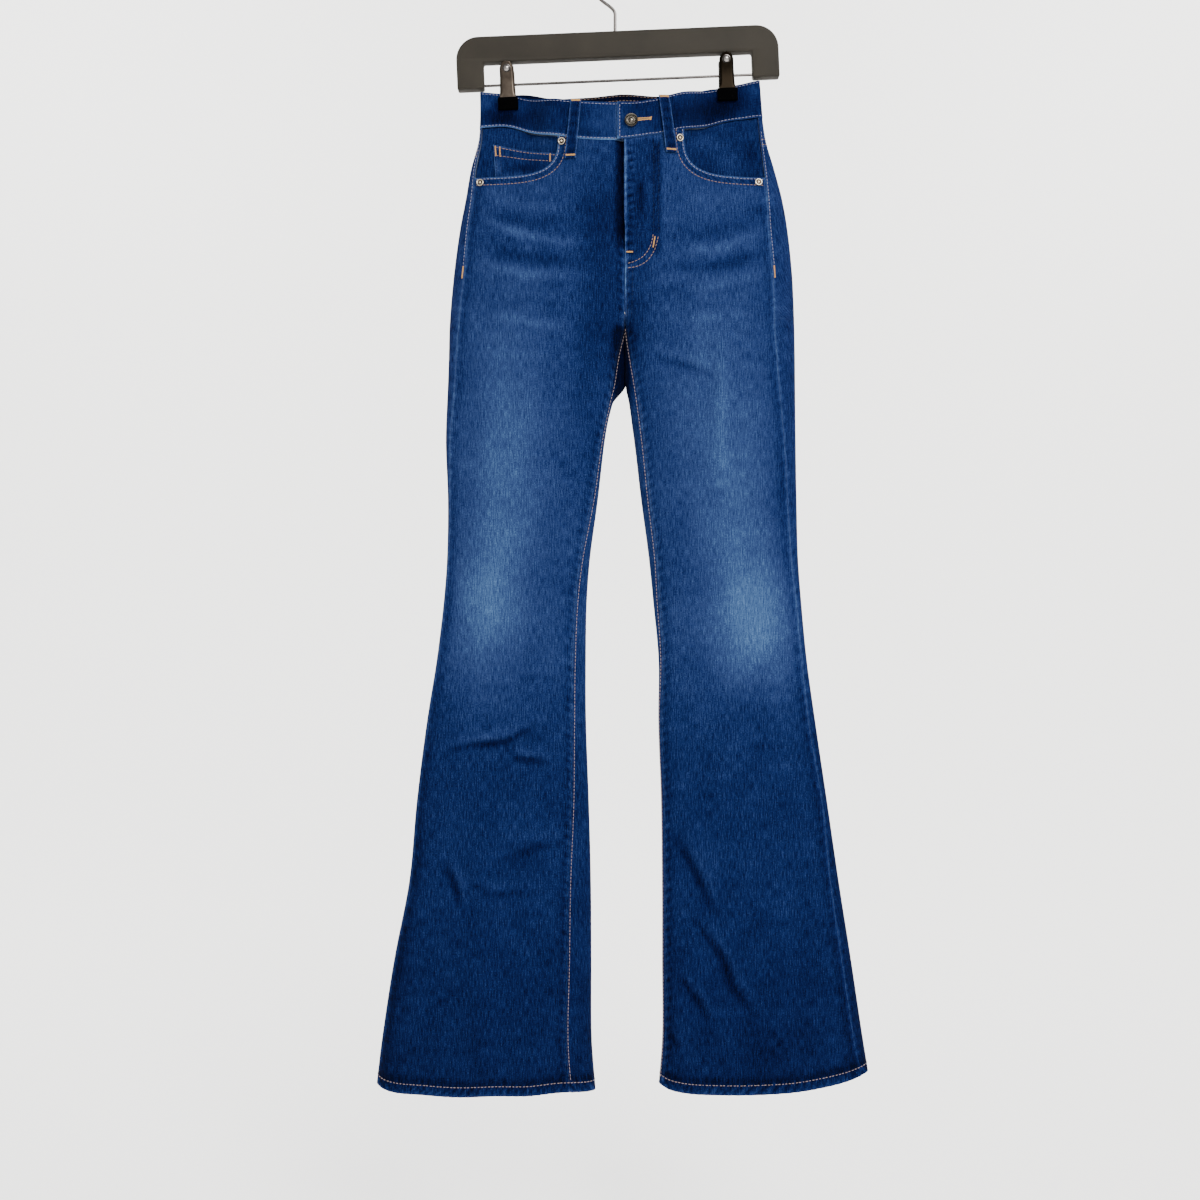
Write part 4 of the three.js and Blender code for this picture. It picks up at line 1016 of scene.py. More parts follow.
def pocket_facing(side):
    """Points from the side seam to a little past the mouth, and from the waistband to the foot."""
    u, v = shares(28, 42)
    far = mouth_curve(side, 0)[0] + TOWARD[side] * FACING_PAST

    def edge_at(z):
        return cloth_point(side, outseam_angle(side, z), z)[..., 0] + TOWARD[side] * 2 * GAP

    rough = mix(edge_at(mix(FACING_TOP, FACING_FOOT, v)), far, u)
    z = mix(waist_seam["front"](rough) - 2 * GAP, FACING_FOOT, v)
    x = mix(edge_at(z), far, u)
    return on_front(side, x, z, -facing_depth(side, x, z))


trim_denim = denim_material("denim_trim", shift=0.02)
# Rubbed places of the facings and of the coin pocket, and painted shade on them, as in the panels' tables.
FACING_WASH_AND_SHADE = [
    (104, -204, 16, 9, 0.15), (128, -222, 14, 8, 0.07), (156, -216, 12, 14, -0.10), (96, -232, 18, 10, -0.06),
    (-88, -203, 18, 7, 0.08), (-150, -215, 6, 16, -0.06),
]
COIN_WASH_AND_SHADE = [(-134, -231, 5, 8, 0.24), (-104, -234, 20, 6, -0.18), (-96, -243, 14, 4, 0.10),
             (-122, -243, 12, 4, 0.08)]
for side in ("right", "left"):
    points, normals = pocket_facing(side)
    # Rubbed places of the facing, and painted shade on it.
    tone = 0.27 + spots(FACING_WASH_AND_SHADE, points[..., 0], points[..., 2])
    piece = cloth_piece("denim_facing_" + side, points, normals, FACING_WALL, tone, trim_denim,
                        grain=points[..., [0, 2]])
    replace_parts(piece, "pocket_facing_" + side)


def coin_pocket_at(u, v):
    """A point of the coin pocket: its left edge leans inward as it falls, and its top edge slopes."""
    x = mix(COIN_LEFT + COIN_LEAN * v, COIN_RIGHT, u)
    z = mix(mix(COIN_TOP_LEFT, COIN_TOP_RIGHT, u), COIN_FOOT, v)
    return on_front("right", x, z, -COIN_DEPTH)


u, v = shares(20, 32)
points, normals = coin_pocket_at(u, v)
edges = 0.25 * bell(v * 40 / 1.2) + 0.2 * bell(u * 71 / 1.2)
# Pale stitched edges, rubbed places, and painted shade under the top's second row.
coin_wear_and_shade = 0.29 + edges + spots(COIN_WASH_AND_SHADE, points[..., 0], points[..., 2])
piece = cloth_piece("denim_coin_pocket", points, normals, FACING_WALL, coin_wear_and_shade, trim_denim,
                    grain=points[..., [0, 2]])
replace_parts(piece, "coin_pocket")
row = np.linspace(0.03, 0.97, 90)
column = np.linspace(0.03, 0.9, 60)
sew("stitching_coin_pocket", [coin_pocket_at(row, at + 0 * row) for at in (0.05, 0.24)], tan_thread, 0.36)
coin_side = [coin_pocket_at(at + 0 * column, column) for at in (0.028, 0.105)]
sew("stitching_coin_side", coin_side, navy_thread, 0.36)
bars = []
for share in (0.03, 0.10, 0.88):
    ends, out = coin_pocket_at(np.array([share, share]), np.array([0.02, 0.26]))
    bars.append(bar_tack(ends[0], ends[1], out, width=1.8))
tack("bar_tacks_coin_pocket", bars, gold_thread, 0.36)

# Seams of the fronts: two rows round each pocket's mouth, the fly's curved rows, and the rows beside
# the centre seam. The upright rows of the fly are navy, and its curve is tan.
sew("stitching_mouth_upper", [beside_mouth(side, 1.9) for side in TOWARD], pale_thread, 0.40)
sew("stitching_mouth_lower", [beside_mouth(side, 9.0) for side in TOWARD], tan_thread, 0.40)
FLY_CURVE = [(42.9, -313.7), (39.5, -327.4), (32.7, -337.6), (22.5, -343.6), (13.5, -346.1)]
FLY_OUTER_CURVE = [(48.6, -316.0), (44.0, -331.9), (36.1, -343.3), (24.7, -349.5), (13.5, -351.2)]
sew("stitching_fly_upright", [fly_line([(43.5, -209), (43.5, -260), (43, -311)]),
                              fly_line([(49, -208), (49, -260), (48.6, -313)]),
                              fly_line([(14.2, -352), (14.2, -380), (14.0, -404)]),
                              fly_line([(19.5, -354), (19.5, -380), (19.0, -402)])], navy_thread)
sew("stitching_fly_curve", [fly_line(FLY_CURVE), fly_line(FLY_OUTER_CURVE)], tan_thread)
bars = []
for ends in ([(12.4, -333), (20.0, -333.5)], [(44.8, -316), (42.6, -328.5)]):
    points, out = on_front("left", [x for x, _ in ends], [z for _, z in ends])
    bars.append(bar_tack(points[0], points[1], out, width=1.8))
tack("bar_tacks_fly", bars, gold_thread)

# The two backs: the same denim, wrapped round both ends of each leg to meet the fronts. Their upper
# edges are joined to the yokes, two shaped strips that give the seat its curve. Both are felled with
# double rows of stitches, as is the seam between the two backs.
YOKE_SIDE, YOKE_CENTRE, WAIST_GUESS_Z = 34, 66, -190.0
BACK_COLUMNS, BACK_ROWS, YOKE_ROWS = 92, 366, 22


def inner_back_angle(side, z):
    """The back panel's inner edge: the centre back, and below the crotch the inseam on the front."""
    x = CENTRE_X - TOWARD[side] * GAP / 2
    centre = 2 * math.pi - front_angle(side, x, z)
    return np.where(z > CROTCH_Z, centre, 2 * math.pi + step_angle(side, inseam_angle(side, z), z, -GAP / 2))


def back_angle(side, u, z):
    """The angle at a share of the way from the side seam to the inner edge, denser at both ends."""
    start = step_angle(side, outseam_angle(side, z), z, GAP / 2)
    return mix(start, inner_back_angle(side, z), u - 0.045 * np.sin(4 * math.pi * u))


def waist_height(curves, side, angle_at, below=None):
    """The height where a line of constant share meets a curve of the waist, found in six steps."""
    z = WAIST_GUESS_Z
    for _ in range(6):
        angle = angle_at(z)
        x = cloth_point(side, angle, z)[..., 0]
        z = mix(curves["back"](x), curves["front"](x), smooth(0.5 + 2 * np.sin(angle)))
        if below is not None:
            z = z - below(x, z)
    return z


def yoke_drop(side):
    """How far the yoke's lower edge is below the waistband, from the side seam to the centre back."""
    def drop(x, z):
        outer = section_curve[side + "_out"](z)
        return mix(YOKE_SIDE, YOKE_CENTRE, np.clip((x - outer) / (CENTRE_X - outer), 0, 1))
    return drop


def back_panel(side):
    """The points of a back from below the yoke to the hem."""
    u, v = shares(BACK_ROWS, BACK_COLUMNS)
    top = waist_height(waist_seam, side, lambda z: back_angle(side, u, z), yoke_drop(side)) - GAP
    z = mix(top, HEM_Z, v) + 0 * u
    angle = back_angle(side, u, z)
    x = cloth_point(side, angle, z)[..., 0]
    z = z + hem_drop(x) * smooth((HEM_Z + 80 - z) / 80)
    angle = back_angle(side, u, z)
    points, normals = on_cloth(side, angle, z)
    return points, normals, angle


def yoke(side):
    """The points of a yoke from the waistband's seam to its lower edge."""
    u, v = shares(YOKE_ROWS, BACK_COLUMNS)
    top = waist_height(waist_seam, side, lambda z: back_angle(side, u, z)) - GAP
    bottom = waist_height(waist_seam, side, lambda z: back_angle(side, u, z), yoke_drop(side))
    z = mix(top, bottom, v)
    angle = back_angle(side, u, z)
    points, normals = on_cloth(side, angle, z)
    return points, normals, angle


yoke_denim = denim_material("denim_yoke", shift=0.02)
for side in ("right", "left"):
    points, normals, angle = back_panel(side)
    tone = cloth_wash_and_shade(side, angle, points)
    piece = cloth_piece("denim_back_" + side, points, normals, hem_wall(points), tone, panel_denim)
    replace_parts(piece, "back_" + side)
    points, normals, angle = yoke(side)
    edge = 0.22 * bell(np.linspace(0, 1, YOKE_ROWS + 1)[::-1, None] * 60 / 1.6)
    on_back_half = np.mod(angle, 2 * math.pi) > math.pi
    tone = cloth_wash_and_shade(side, angle, points) + edge + 0.10 * np.where(on_back_half, 1, 0)
    piece = cloth_piece("denim_yoke_" + side, points, normals, DENIM, np.clip(tone, 0, 1), yoke_denim)
    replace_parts(piece, "yoke_" + side)


def row_beside(side, angles, heights, distance):
    """A line of points on the cloth at a distance from given angles."""
    return on_cloth(side, step_angle(side, angles, heights, distance), heights)


def yoke_row(side, distance):
    """A row at a distance above the yoke's lower edge."""
    u = np.linspace(0.02, 0.985, 260)
    z = waist_height(waist_seam, side, lambda z: back_angle(side, u, z), yoke_drop(side)) + distance
    return on_cloth(side, back_angle(side, u, z), z)


sew("stitching_yokes", [yoke_row(side, gap) for side in ("right", "left") for gap in (2.0, 8.0)], tan_thread)
centre_z = np.linspace(-186, -404, 240)
centre_rows = [on_back("left", CENTRE_X + gap + 0 * centre_z, centre_z) for gap in (2.2, 8.2)]
sew("stitching_centre_back", centre_rows, tan_thread)
side_rows, side_bars, inner_rows, fell_rows, hem_rows = [], [], [], [], []
for side in ("right", "left"):
    z = np.linspace(-190, -345, 160)
    side_rows.append(row_beside(side, outseam_angle(side, z), z, 2.2))
    ends_z = np.array([-346.0, -360.0])
    points, out = row_beside(side, outseam_angle(side, ends_z), ends_z, 2.2)
    side_bars.append(bar_tack(points[0], points[1], out, width=1.8))
    z = np.linspace(CROTCH_Z - 4, HEM_Z + 14, 700)
    inner_rows.append(row_beside(side, inseam_angle(side, z), z, -2.0))
    fell_rows.append(row_beside(side, inseam_angle(side, z), z, 2.4))
    angle = np.linspace(0, 2 * math.pi, 700)
    z = np.full(700, HEM_Z + HEM_HEIGHT - 1.0)
    for _ in range(2):
        z = HEM_Z + HEM_HEIGHT + hem_drop(cloth_point(side, angle, z)[..., 0])
    hem_rows.append(on_cloth(side, angle, z))
sew("stitching_side_seams", side_rows, pale_thread, 0.36)
tack("bar_tacks_side_seams", side_bars, gold_thread)
sew("stitching_inseams", inner_rows, worn_thread, 0.34)
sew("stitching_inseams_inner", fell_rows, navy_thread, 0.34)
sew("stitching_hems", hem_rows, worn_thread, 0.42)

# The back pockets: plain patches with a point at the foot, turned in at the edges, hemmed at the top
# and sewn on with two rows that end in bar-tacks.
PATCH_WIDTH, PATCH_NARROW, PATCH_SIDE, PATCH_POINT, PATCH_TOP, PATCH_OFFSET = 138, 120, 125, 152, -262, 86


def patch_at(side, u, v, lift=0.0):
    """A point of a back pocket: its sides draw in a little, and its foot falls to a point."""
    out = -TOWARD[side]
    across = (u - 0.5) * mix(PATCH_WIDTH, PATCH_NARROW, v)
    length = mix(PATCH_SIDE, PATCH_POINT, 1 - abs(2 * u - 1))
    z = PATCH_TOP - out * across * 0.045 - length * v
    return on_back(side, CENTRE_X + out * PATCH_OFFSET + across, z, DENIM + GAP + lift)


def patch_row(side, u_from, v_from, u_to, v_to):
    """A straight row of stitches across a pocket."""
    return patch_at(side, np.linspace(u_from, u_to, 160), np.linspace(v_from, v_to, 160))


patch_rows, patch_bars = [], []
for side in ("right", "left"):
    u, v = shares(56, 52)
    points, normals = patch_at(side, u, v)
    rim = np.minimum(np.minimum(u, 1 - u) * 125, np.minimum(v, 1 - v) * 140)
    tone = 0.36 + 0.16 * np.exp(-((u - 0.5) / 0.35) ** 2 - ((v - 0.45) / 0.35) ** 2)
    tone = tone + 0.24 * bell(rim / 1.6) - 0.06 * bell((rim - 5) / 3)
    piece = cloth_piece("denim_back_pocket_" + side, points, normals, DENIM, tone, trim_denim,
                        grain=points[..., [0, 2]])
    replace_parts(piece, "back_pocket_" + side)
    for gap in (0.018, 0.066):
        for path in ((gap, 0.0, gap, 1 - gap), (1 - gap, 0.0, 1 - gap, 1 - gap),
                     (gap, 1 - gap, 0.5, 1 - gap), (0.5, 1 - gap, 1 - gap, 1 - gap)):
            patch_rows.append(patch_row(side, *path))
    for gap in (0.10, 0.135):
        patch_rows.append(patch_row(side, 0.02, gap, 0.98, gap))
    for end in (0.03, 0.97):
        ends, out = patch_at(side, np.array([end, end]), np.array([0.0, 0.075]), 0.1)
        patch_bars.append(bar_tack(ends[0], ends[1], out, width=2.4))
sew("stitching_back_pockets", patch_rows, tan_thread)
tack("bar_tacks_back_pockets", patch_bars, gold_thread)

# The fly shield: a folded strip that lies behind the closed zip, sewn to the right front.
u, v = shares(48, 16)
shield_x = mix(2, 44, u) + 0 * v
shield_z = mix(waist_seam["front"](shield_x) - 1, FLY_END_Z - 4, v)
points, normals = on_front("right", shield_x, shield_z, -DENIM - GAP)
piece = cloth_piece("denim_fly_shield", points, normals, FACING_WALL, 0.1, trim_denim,
                    grain=points[..., [0, 2]])
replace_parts(piece, "fly_shield")

# The waistband: one doubled strip of denim, stitched along both edges. It starts under the left end at
# the centre front, runs once round, and laps over itself where the button holds it.
BAND_WALL, BAND_PROUD = 2.3, 0.4
BAND_OVER_X, BAND_UNDER_X, BAND_LIFT, BAND_FLAT_TO, BAND_END_X = 2.4, 36, BAND_WALL + GAP + 0.1, 37, 47
BAND_LEVEL, BAND_ROWS, BAND_COLUMNS, BAND_HEIGHT = -180.0, 20, 130, 42
# Worn and darker places of the band's front, the darkest two being painted shadows beside the clips: place,
# height above the seam, half width, half height, amount.
BAND_WASH_AND_SHADOW = [
    (-150, 28, 10, 12, 0.16), (-122, 12, 22, 14, -0.22), (-92, 20, 16, 10, -0.10), (-72, 26, 14, 9, 0.08),
    (-26, 16, 20, 10, 0.10), (16, 30, 16, 8, -0.05), (40, 14, 16, 8, 0.05), (92, 22, 26, 14, -0.10),
    (124, 16, 24, 16, -0.26), (158, 30, 9, 9, 0.18), (156, 10, 12, 6, 0.06),
]


def band_lift(side, angle, x):
    """How far the left end of the band is raised over the right end."""
    if side != "left":
        return np.zeros(np.shape(x))
    flat = 1 - smooth((x - BAND_FLAT_TO) / (BAND_END_X - BAND_FLAT_TO))
    return np.where(angle > math.pi, 0, BAND_LIFT * flat)


def on_band(side, angle, z, lift=0.0):
    """Points of the band, which stands a little proud of the cloth below it."""
    angle, z = np.broadcast_arrays(np.asarray(angle, float), np.asarray(z, float))
    point, normal = cloth_point(side, angle, z), cloth_normal(side, angle, z)
    total = BAND_PROUD + lift + band_lift(side, angle, point[..., 0])
    return point + normal * total[..., None], normal


BAND_START = front_angle("right", BAND_UNDER_X, BAND_LEVEL)
BAND_END = front_angle("left", BAND_OVER_X, BAND_LEVEL)
BAND_BACK = 3 * QUARTER


def band_at(side, angle, v, lift=0.0):
    """Points of the band at a share of the way from its seam up to its top edge, with a slight pucker
    along both rows of stitches."""
    angle, v = np.broadcast_arrays(np.asarray(angle, float), np.asarray(v, float))
    top = waist_height(waist_top, side, lambda z: angle)
    seam = waist_height(waist_seam, side, lambda z: angle)
    x = cloth_point(side, angle, BAND_LEVEL)[..., 0]
    near_rows = bell((v - 0.06) / 0.06) + bell((v - 0.94) / 0.06)
    pucker = 0.12 * near_rows * ripple(x * 1.1 + 14 * v, 4) - 0.2 * near_rows
    return on_band(side, angle, mix(seam, top, v), lift + pucker * (1 - pinch(x, BAND_LEVEL)))


def round_band(share, v, lift=0.0):
    """Points and directions round the band: the right half from under the lap to the back, and then
    the left half without its first place, which the two halves have in common."""
    right = band_at("right", mix(BAND_START, BAND_BACK, share), v, lift)
    left = band_at("left", mix(BAND_BACK, BAND_END, share)[..., 1:], v, lift)
    return [np.concatenate(pair, axis=-2) for pair in zip(right, left)]


share, v = shares(BAND_ROWS, BAND_COLUMNS)
points, normals = round_band(share, v)
x, up = points[..., 0], v * BAND_HEIGHT
on_front_half = points[..., 1] < 0
edge = 0.20 * bell(up / 1.3) + 0.16 * bell((1 - v) * BAND_HEIGHT / 1.3)
near_fly = 0.10 * bell(x / 26) * np.where(on_front_half, 1, 0)
end_edge = 0.22 * bell((x - BAND_OVER_X) / 1.2)
# Worn edges and places of the band, and the painted shadows beside the clips.
band_wear_and_shadow = (0.24 + edge + near_fly + 0.05 * np.sin(x / 17 + 3 * v) + end_edge
             + np.where(on_front_half & (x < BAND_OVER_X), 0.50, 0.08) * bell(up / 2.4)
             + np.where(on_front_half, spots(BAND_WASH_AND_SHADOW, x, up), 0))
band_denim = denim_material("denim_band", grain=0.8)
run = np.concatenate([[0], np.cumsum(np.linalg.norm(np.diff(points[BAND_ROWS // 2], axis=0), axis=1))])
grain = np.stack([np.broadcast_to(run[None, :], x.shape), up + 0 * x], axis=-1)
band = cloth_piece("denim_waistband", points, normals, BAND_WALL, np.clip(band_wear_and_shadow, 0, 1), band_denim,
                   grain=grain, weft=0.0, inner_wash=0.02)
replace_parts(band, "waistband")


ROW_SHARE = np.linspace(0.0, 1.0, 500)


def band_row(v):
    """A row of stitches round the band at a share of its height, which stops short of its end."""
    points, out = round_band(ROW_SHARE, v)
    keep = (points[:, 0] > BAND_OVER_X + 2.5) | (points[:, 1] > 0)
    keep[:len(ROW_SHARE)] = True
    return points[keep], out[keep]


def band_inner_row(v, reach):
    """A row of stitches on the inner face at the back, as far from the centre as the reach."""
    points, out = round_band(ROW_SHARE, v, -BAND_WALL)
    keep = (points[:, 1] > 0) & (abs(points[:, 0] - CENTRE_X) < reach)
    return points[keep], -out[keep]


sew("stitching_band_inside", [band_inner_row(at, 60) for at in (0.95, 0.82)], tan_thread, 0.40)
sew("stitching_band_seam", [band_row(0.045)], pale_thread, 0.40)
sew("stitching_band_top", [band_row(0.95)], pale_thread, 0.34)
end_z = np.linspace(-203.5, -166, 60)
end_angle = front_angle("left", BAND_OVER_X + 2.6, end_z)
sew("stitching_band_end", [on_band("left", end_angle, end_z)], pale_thread, 0.36)

# The belt loops: narrow folded strips with two rows of stitches, bar-tacked at the waistband's top and
# below its seam, and standing off the band between.
LOOP_WIDTH, LOOP_WALL, LOOP_ARCH, LOOP_ABOVE, LOOP_BELOW = 12, 1.6, 2.6, 1, 24
BELT_LOOPS = {
    "front_right": ("front", -44.3, -50.6), "front_left": ("front", 55, 63.4),
    "side_right": ("back", -72, -73), "side_left": ("back", 84, 86), "back": ("back", 11, 11),
}


def loop_at(face, top_x, bottom_x, u, v, lift=0.0):
    """A point of a belt loop at a share across and down. It rises from the band as the root of a
    half sine, so that it stands off between its sewn ends. Its face is the front or the back."""
    u, v = np.broadcast_arrays(np.asarray(u, float), np.asarray(v, float))
    x = mix(top_x, bottom_x, v) + (u - 0.5) * LOOP_WIDTH
    z = mix(waist_top[face](top_x) + LOOP_ABOVE, waist_seam[face](bottom_x) - LOOP_BELOW, v)
    ground, out = np.zeros(x.shape + (3,)), np.zeros(x.shape + (3,))
    for side in ("right", "left"):
        angle = front_angle(side, x, z)
        angle = angle if face == "front" else 2 * math.pi - angle
        normal = cloth_normal(side, angle, z)
        raised = BAND_PROUD + np.maximum(band_lift(side, angle, x), fly_lift(side, angle, x, z))
        rise = raised + 2 * GAP + LOOP_WALL + LOOP_ARCH * np.sqrt(np.sin(math.pi * np.clip(v, 0, 1))) + lift
        on_side = ((x < CENTRE_X) == (side == "right"))[..., None]
        ground = np.where(on_side, cloth_point(side, angle, z) + normal * rise[..., None], ground)
        out = np.where(on_side, normal, out)
    return ground, out


loop_denim = denim_material("denim_loop", grain=0.9)
loop_rows, loop_bars, loops = [], [], []
for name, (face, top_x, bottom_x) in BELT_LOOPS.items():
    u, v = shares(40, 10)
    groove = -0.25 * bell((abs(u - 0.5) - 0.33) / 0.07)
    points, normals = loop_at(face, top_x, bottom_x, u, v, groove)
    tone = 0.20 + 0.45 * bell(np.minimum(u, 1 - u) * LOOP_WIDTH / 1.3) + 0.05 * np.sin(v * 40)
    grain = np.stack([(u - 0.5) * LOOP_WIDTH + 0 * v, -v * 60 + 0 * u], axis=-1)
    piece = cloth_piece("denim_loop_" + name, points, normals, LOOP_WALL, tone, loop_denim,
                        grain=grain, weft=0.0)
    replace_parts(piece, "belt_loop_" + name)
    loops.append(piece)
    along = np.linspace(0.04, 0.96, 80)
    loop_rows += [loop_at(face, top_x, bottom_x, share, along) for share in (0.17, 0.83)]
    for at in (0.03, 0.955):
        ends, out = loop_at(face, top_x, bottom_x, np.array([0.08, 0.92]), np.array([at, at]), 0.1)
        loop_bars.append(bar_tack(ends[0], ends[1], out, width=2.2))
sew("stitching_loops", loop_rows, navy_thread, 0.34)
tack("bar_tacks_loops", loop_bars, gold_thread)

# The buttonhole is worked in gold thread round a slit that ends behind the button's shank.
bars = []
for gap in (-1.3, 1.3):
    hole_x, hole_z = np.array([17.0, 40.0]), np.array([-184.8, -182.6]) + gap * np.array([1.0, 0.55])
    points, out = on_band("left", front_angle("left", hole_x, hole_z), hole_z, 0.15)
    bars.append(bar_tack(points[0], points[1], out, width=1.9, pitch=0.6))
hole_x, hole_z = np.array([39.6, 40.6]), np.array([-184.8, -180.6])
points, out = on_band("left", front_angle("left", hole_x, hole_z), hole_z, 0.3)
bars.append(bar_tack(points[0], points[1], out, width=1.9))
tack("buttonhole", bars, gold_thread, 0.36)

# Rivets and button: stamped caps pressed through the cloth. The rivets have a raised rim and a nub in
# a dark well, and the button a corded rim, a ring of beads and a plain domed middle.
RIVETS = {"right_upper": ("right", -60.7, -207), "right_lower": ("right", -154, -250.5),
          "left_upper": ("left", 73.2, -203), "left_lower": ("left", 163.5, -250.5)}
# Profiles of caps: the distance from the axis and the height.
RIVET_PROFILE = [(0, 1.75), (0.7, 1.65), (1.25, 1.2), (1.5, 0.65), (2.1, 0.55), (2.6, 0.8), (3.0, 1.25),
                 (3.5, 1.42), (4.0, 1.2), (4.35, 0.7), (4.4, 0.0), (3.6, -0.1), (0, -0.1)]
BUTTON_X, BUTTON_Z = 18, -185.5
BUTTON_PROFILE = [(0, 3.1), (1.2, 3.05), (2.1, 2.75), (2.5, 2.2), (2.9, 1.95), (3.4, 1.9), (6.0, 1.95),
                  (6.3, 2.2), (6.7, 3.0), (7.1, 3.2), (7.45, 2.8), (7.5, 1.9), (7.2, 0.9), (5.2, 0.3),
                  (5.0, -0.1), (0, -0.1)]


def plated_metal(name, bright, dark, roughness, scale):
    """Plated metal: worn bright on the raised parts and dark in the wells, with fine scratches."""
    material, tree, shader = new_material(name)
    raised = tree.nodes.new("ShaderNodeAttribute")
    raised.attribute_name = "raised"
    scratches = add_noise(tree, tree.nodes.new("ShaderNodeTexCoord").outputs["Object"], scale, 4)
    total = tree.nodes.new("ShaderNodeMath")
    total.operation = "MULTIPLY_ADD"
    total.inputs[1].default_value = 0.5
    tree.links.new(scratches, total.inputs[0])
    tree.links.new(raised.outputs["Fac"], total.inputs[2])
    add_colour(tree, shader, total.outputs[0], 0.45, 1.05, dark, bright)
    add_roughness(tree, shader, scratches, roughness - 0.1, roughness + 0.15)
    add_bump(tree, shader, scratches, 0.25, 0.0001)
    shader.inputs["Metallic"].default_value = 1.0
    return material


def turned(profile, seat, normal, segments=48, ripple_depth=0.0, ripple_from=99.0):
    """Vertices, faces and raised values of a cap turned about its normal. Each profile point makes a
    ring, and rings beyond a radius are corded by a cosine round the turn."""
    profile = np.array(profile, float)
    normal = unit(np.asarray(normal, float))
    first = unit(np.cross(normal, np.array([0.0, 0.0, 1.0])))
    second = np.cross(normal, first)
    turn = np.arange(segments) * 2 * math.pi / segments
    radius, height = profile[:, 0][:, None], profile[:, 1][:, None]
    cord = np.where(radius > ripple_from, ripple_depth * np.cos(turn * segments / 4)[None, :], 0)
    lift = height + np.where(height > 1, cord, 0)
    out, across = radius * np.cos(turn)[None, :], radius * np.sin(turn)[None, :]
    vertices = seat + normal * lift[..., None] + first * out[..., None] + second * across[..., None]
    faces = ring_walls(len(profile), segments)[:, [0, 3, 2, 1]]
    raised = np.clip(height / profile[:, 1].max(), 0, 1) ** 2 + 0 * turn[None, :]
    return vertices.reshape(-1, 3), faces, raised.ravel()


def metal_piece(name, parts, material):
    """One piece from several turned shapes. Points that meet in a pole are merged, and faces turned
    outward."""
    vertices, faces, raised, total = [], [], [], 0
    for some, cells, values in parts:
        vertices.append(some)
        faces.append(cells + total)
        raised.append(values)
        total += len(some)
    made = make_object(name, np.concatenate(vertices), np.concatenate(faces), material,
                       {"raised": np.concatenate(raised)}, sharp=50)
    shape = bmesh.new()
    shape.from_mesh(made.data)
    bmesh.ops.remove_doubles(shape, verts=shape.verts, dist=1e-6)
    bmesh.ops.recalc_face_normals(shape, faces=shape.faces)
    shape.to_mesh(made.data)
    shape.free()
    return made


rivet_metal = plated_metal("rivet_metal", (0.62, 0.55, 0.45), (0.045, 0.03, 0.02), 0.30, scale=900)
button_metal = plated_metal("button_metal", (0.11, 0.098, 0.082), (0.002, 0.0018, 0.0016), 0.24, scale=700)
for name, (side, x, z) in RIVETS.items():
    seat, out = on_front(side, x, z, GAP)
    piece = metal_piece("rivet_cap_" + name, [turned(RIVET_PROFILE, seat, out)], rivet_metal)
    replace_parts(piece, "rivet_" + name)
seat, out = on_band("left", front_angle("left", BUTTON_X, BUTTON_Z), BUTTON_Z, GAP)
first = unit(np.cross(out, np.array([0.0, 0.0, 1.0])))
second = np.cross(out, first)
BEAD_PROFILE = [(0, 0.75), (0.3, 0.68), (0.55, 0.45), (0.68, 0.1), (0.7, -0.2)]
parts = [turned(BUTTON_PROFILE, seat, out, 72, 0.16, 6.6)]
for i in range(16):
    bead = seat + 4.65 * (math.cos(i * math.pi / 8) * first + math.sin(i * math.pi / 8) * second) + out * 1.9
    parts.append(turned(BEAD_PROFILE, bead, out, 10))
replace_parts(metal_piece("button_cap", parts, button_metal), "button")

# The hanger: a flat bar with a leg at each end, painted a satin grey-brown, and a steel wire hook that
# is screwed into its top. A rod between the legs carries the two clips.
HANGER_TILT = math.radians(2.42)
HANGER_X, HANGER_Z = 1.6, -74.5
ROD_BELOW, ROD_RADIUS = 55, 1.5
BAR_WIDTH, BAR_LEG = 370, 31


def painted(name, colour, roughness, scale, depth, shine):
    """Satin paint, rubber or the like: a slightly mottled colour with a fine pebbled surface."""
    material, tree, shader = new_material(name)
    place = tree.nodes.new("ShaderNodeTexCoord").outputs["Object"]
    fine, broad = add_noise(tree, place, scale, 3), add_noise(tree, place, 22, 4)
    add_colour(tree, shader, broad, 0.3, 0.7, [0.86 * c for c in colour], [1.12 * c for c in colour])
    add_roughness(tree, shader, broad, roughness - 0.06, roughness + 0.08)
    add_bump(tree, shader, fine, 0.3, depth)
    shader.inputs["Specular IOR Level"].default_value = shine
    return material


def rounded_copy(name, node_name, radius, material, steps=3):
    """A copy of a CAD solid, merged and with flat faces joined, whose edges are rounded by a bevel."""
    mesh = nodes[node_name].data.copy()
    mesh.name = name
    shape = bmesh.new()
    shape.from_mesh(mesh)
    bmesh.ops.remove_doubles(shape, verts=shape.verts, dist=1e-6)
    bmesh.ops.dissolve_limit(shape, angle_limit=0.01, verts=shape.verts, edges=shape.edges)
    corners = [edge for edge in shape.edges if len(edge.link_faces) == 2 and edge.calc_face_angle() > 0.5]
    bmesh.ops.bevel(shape, geom=corners, offset=radius * 0.001, segments=steps, profile=0.5, affect="EDGES")
    shape.to_mesh(mesh)
    shape.free()
    mesh.materials.clear()
    made = add_object(name, mesh, material, 35)
    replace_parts(made, node_name)


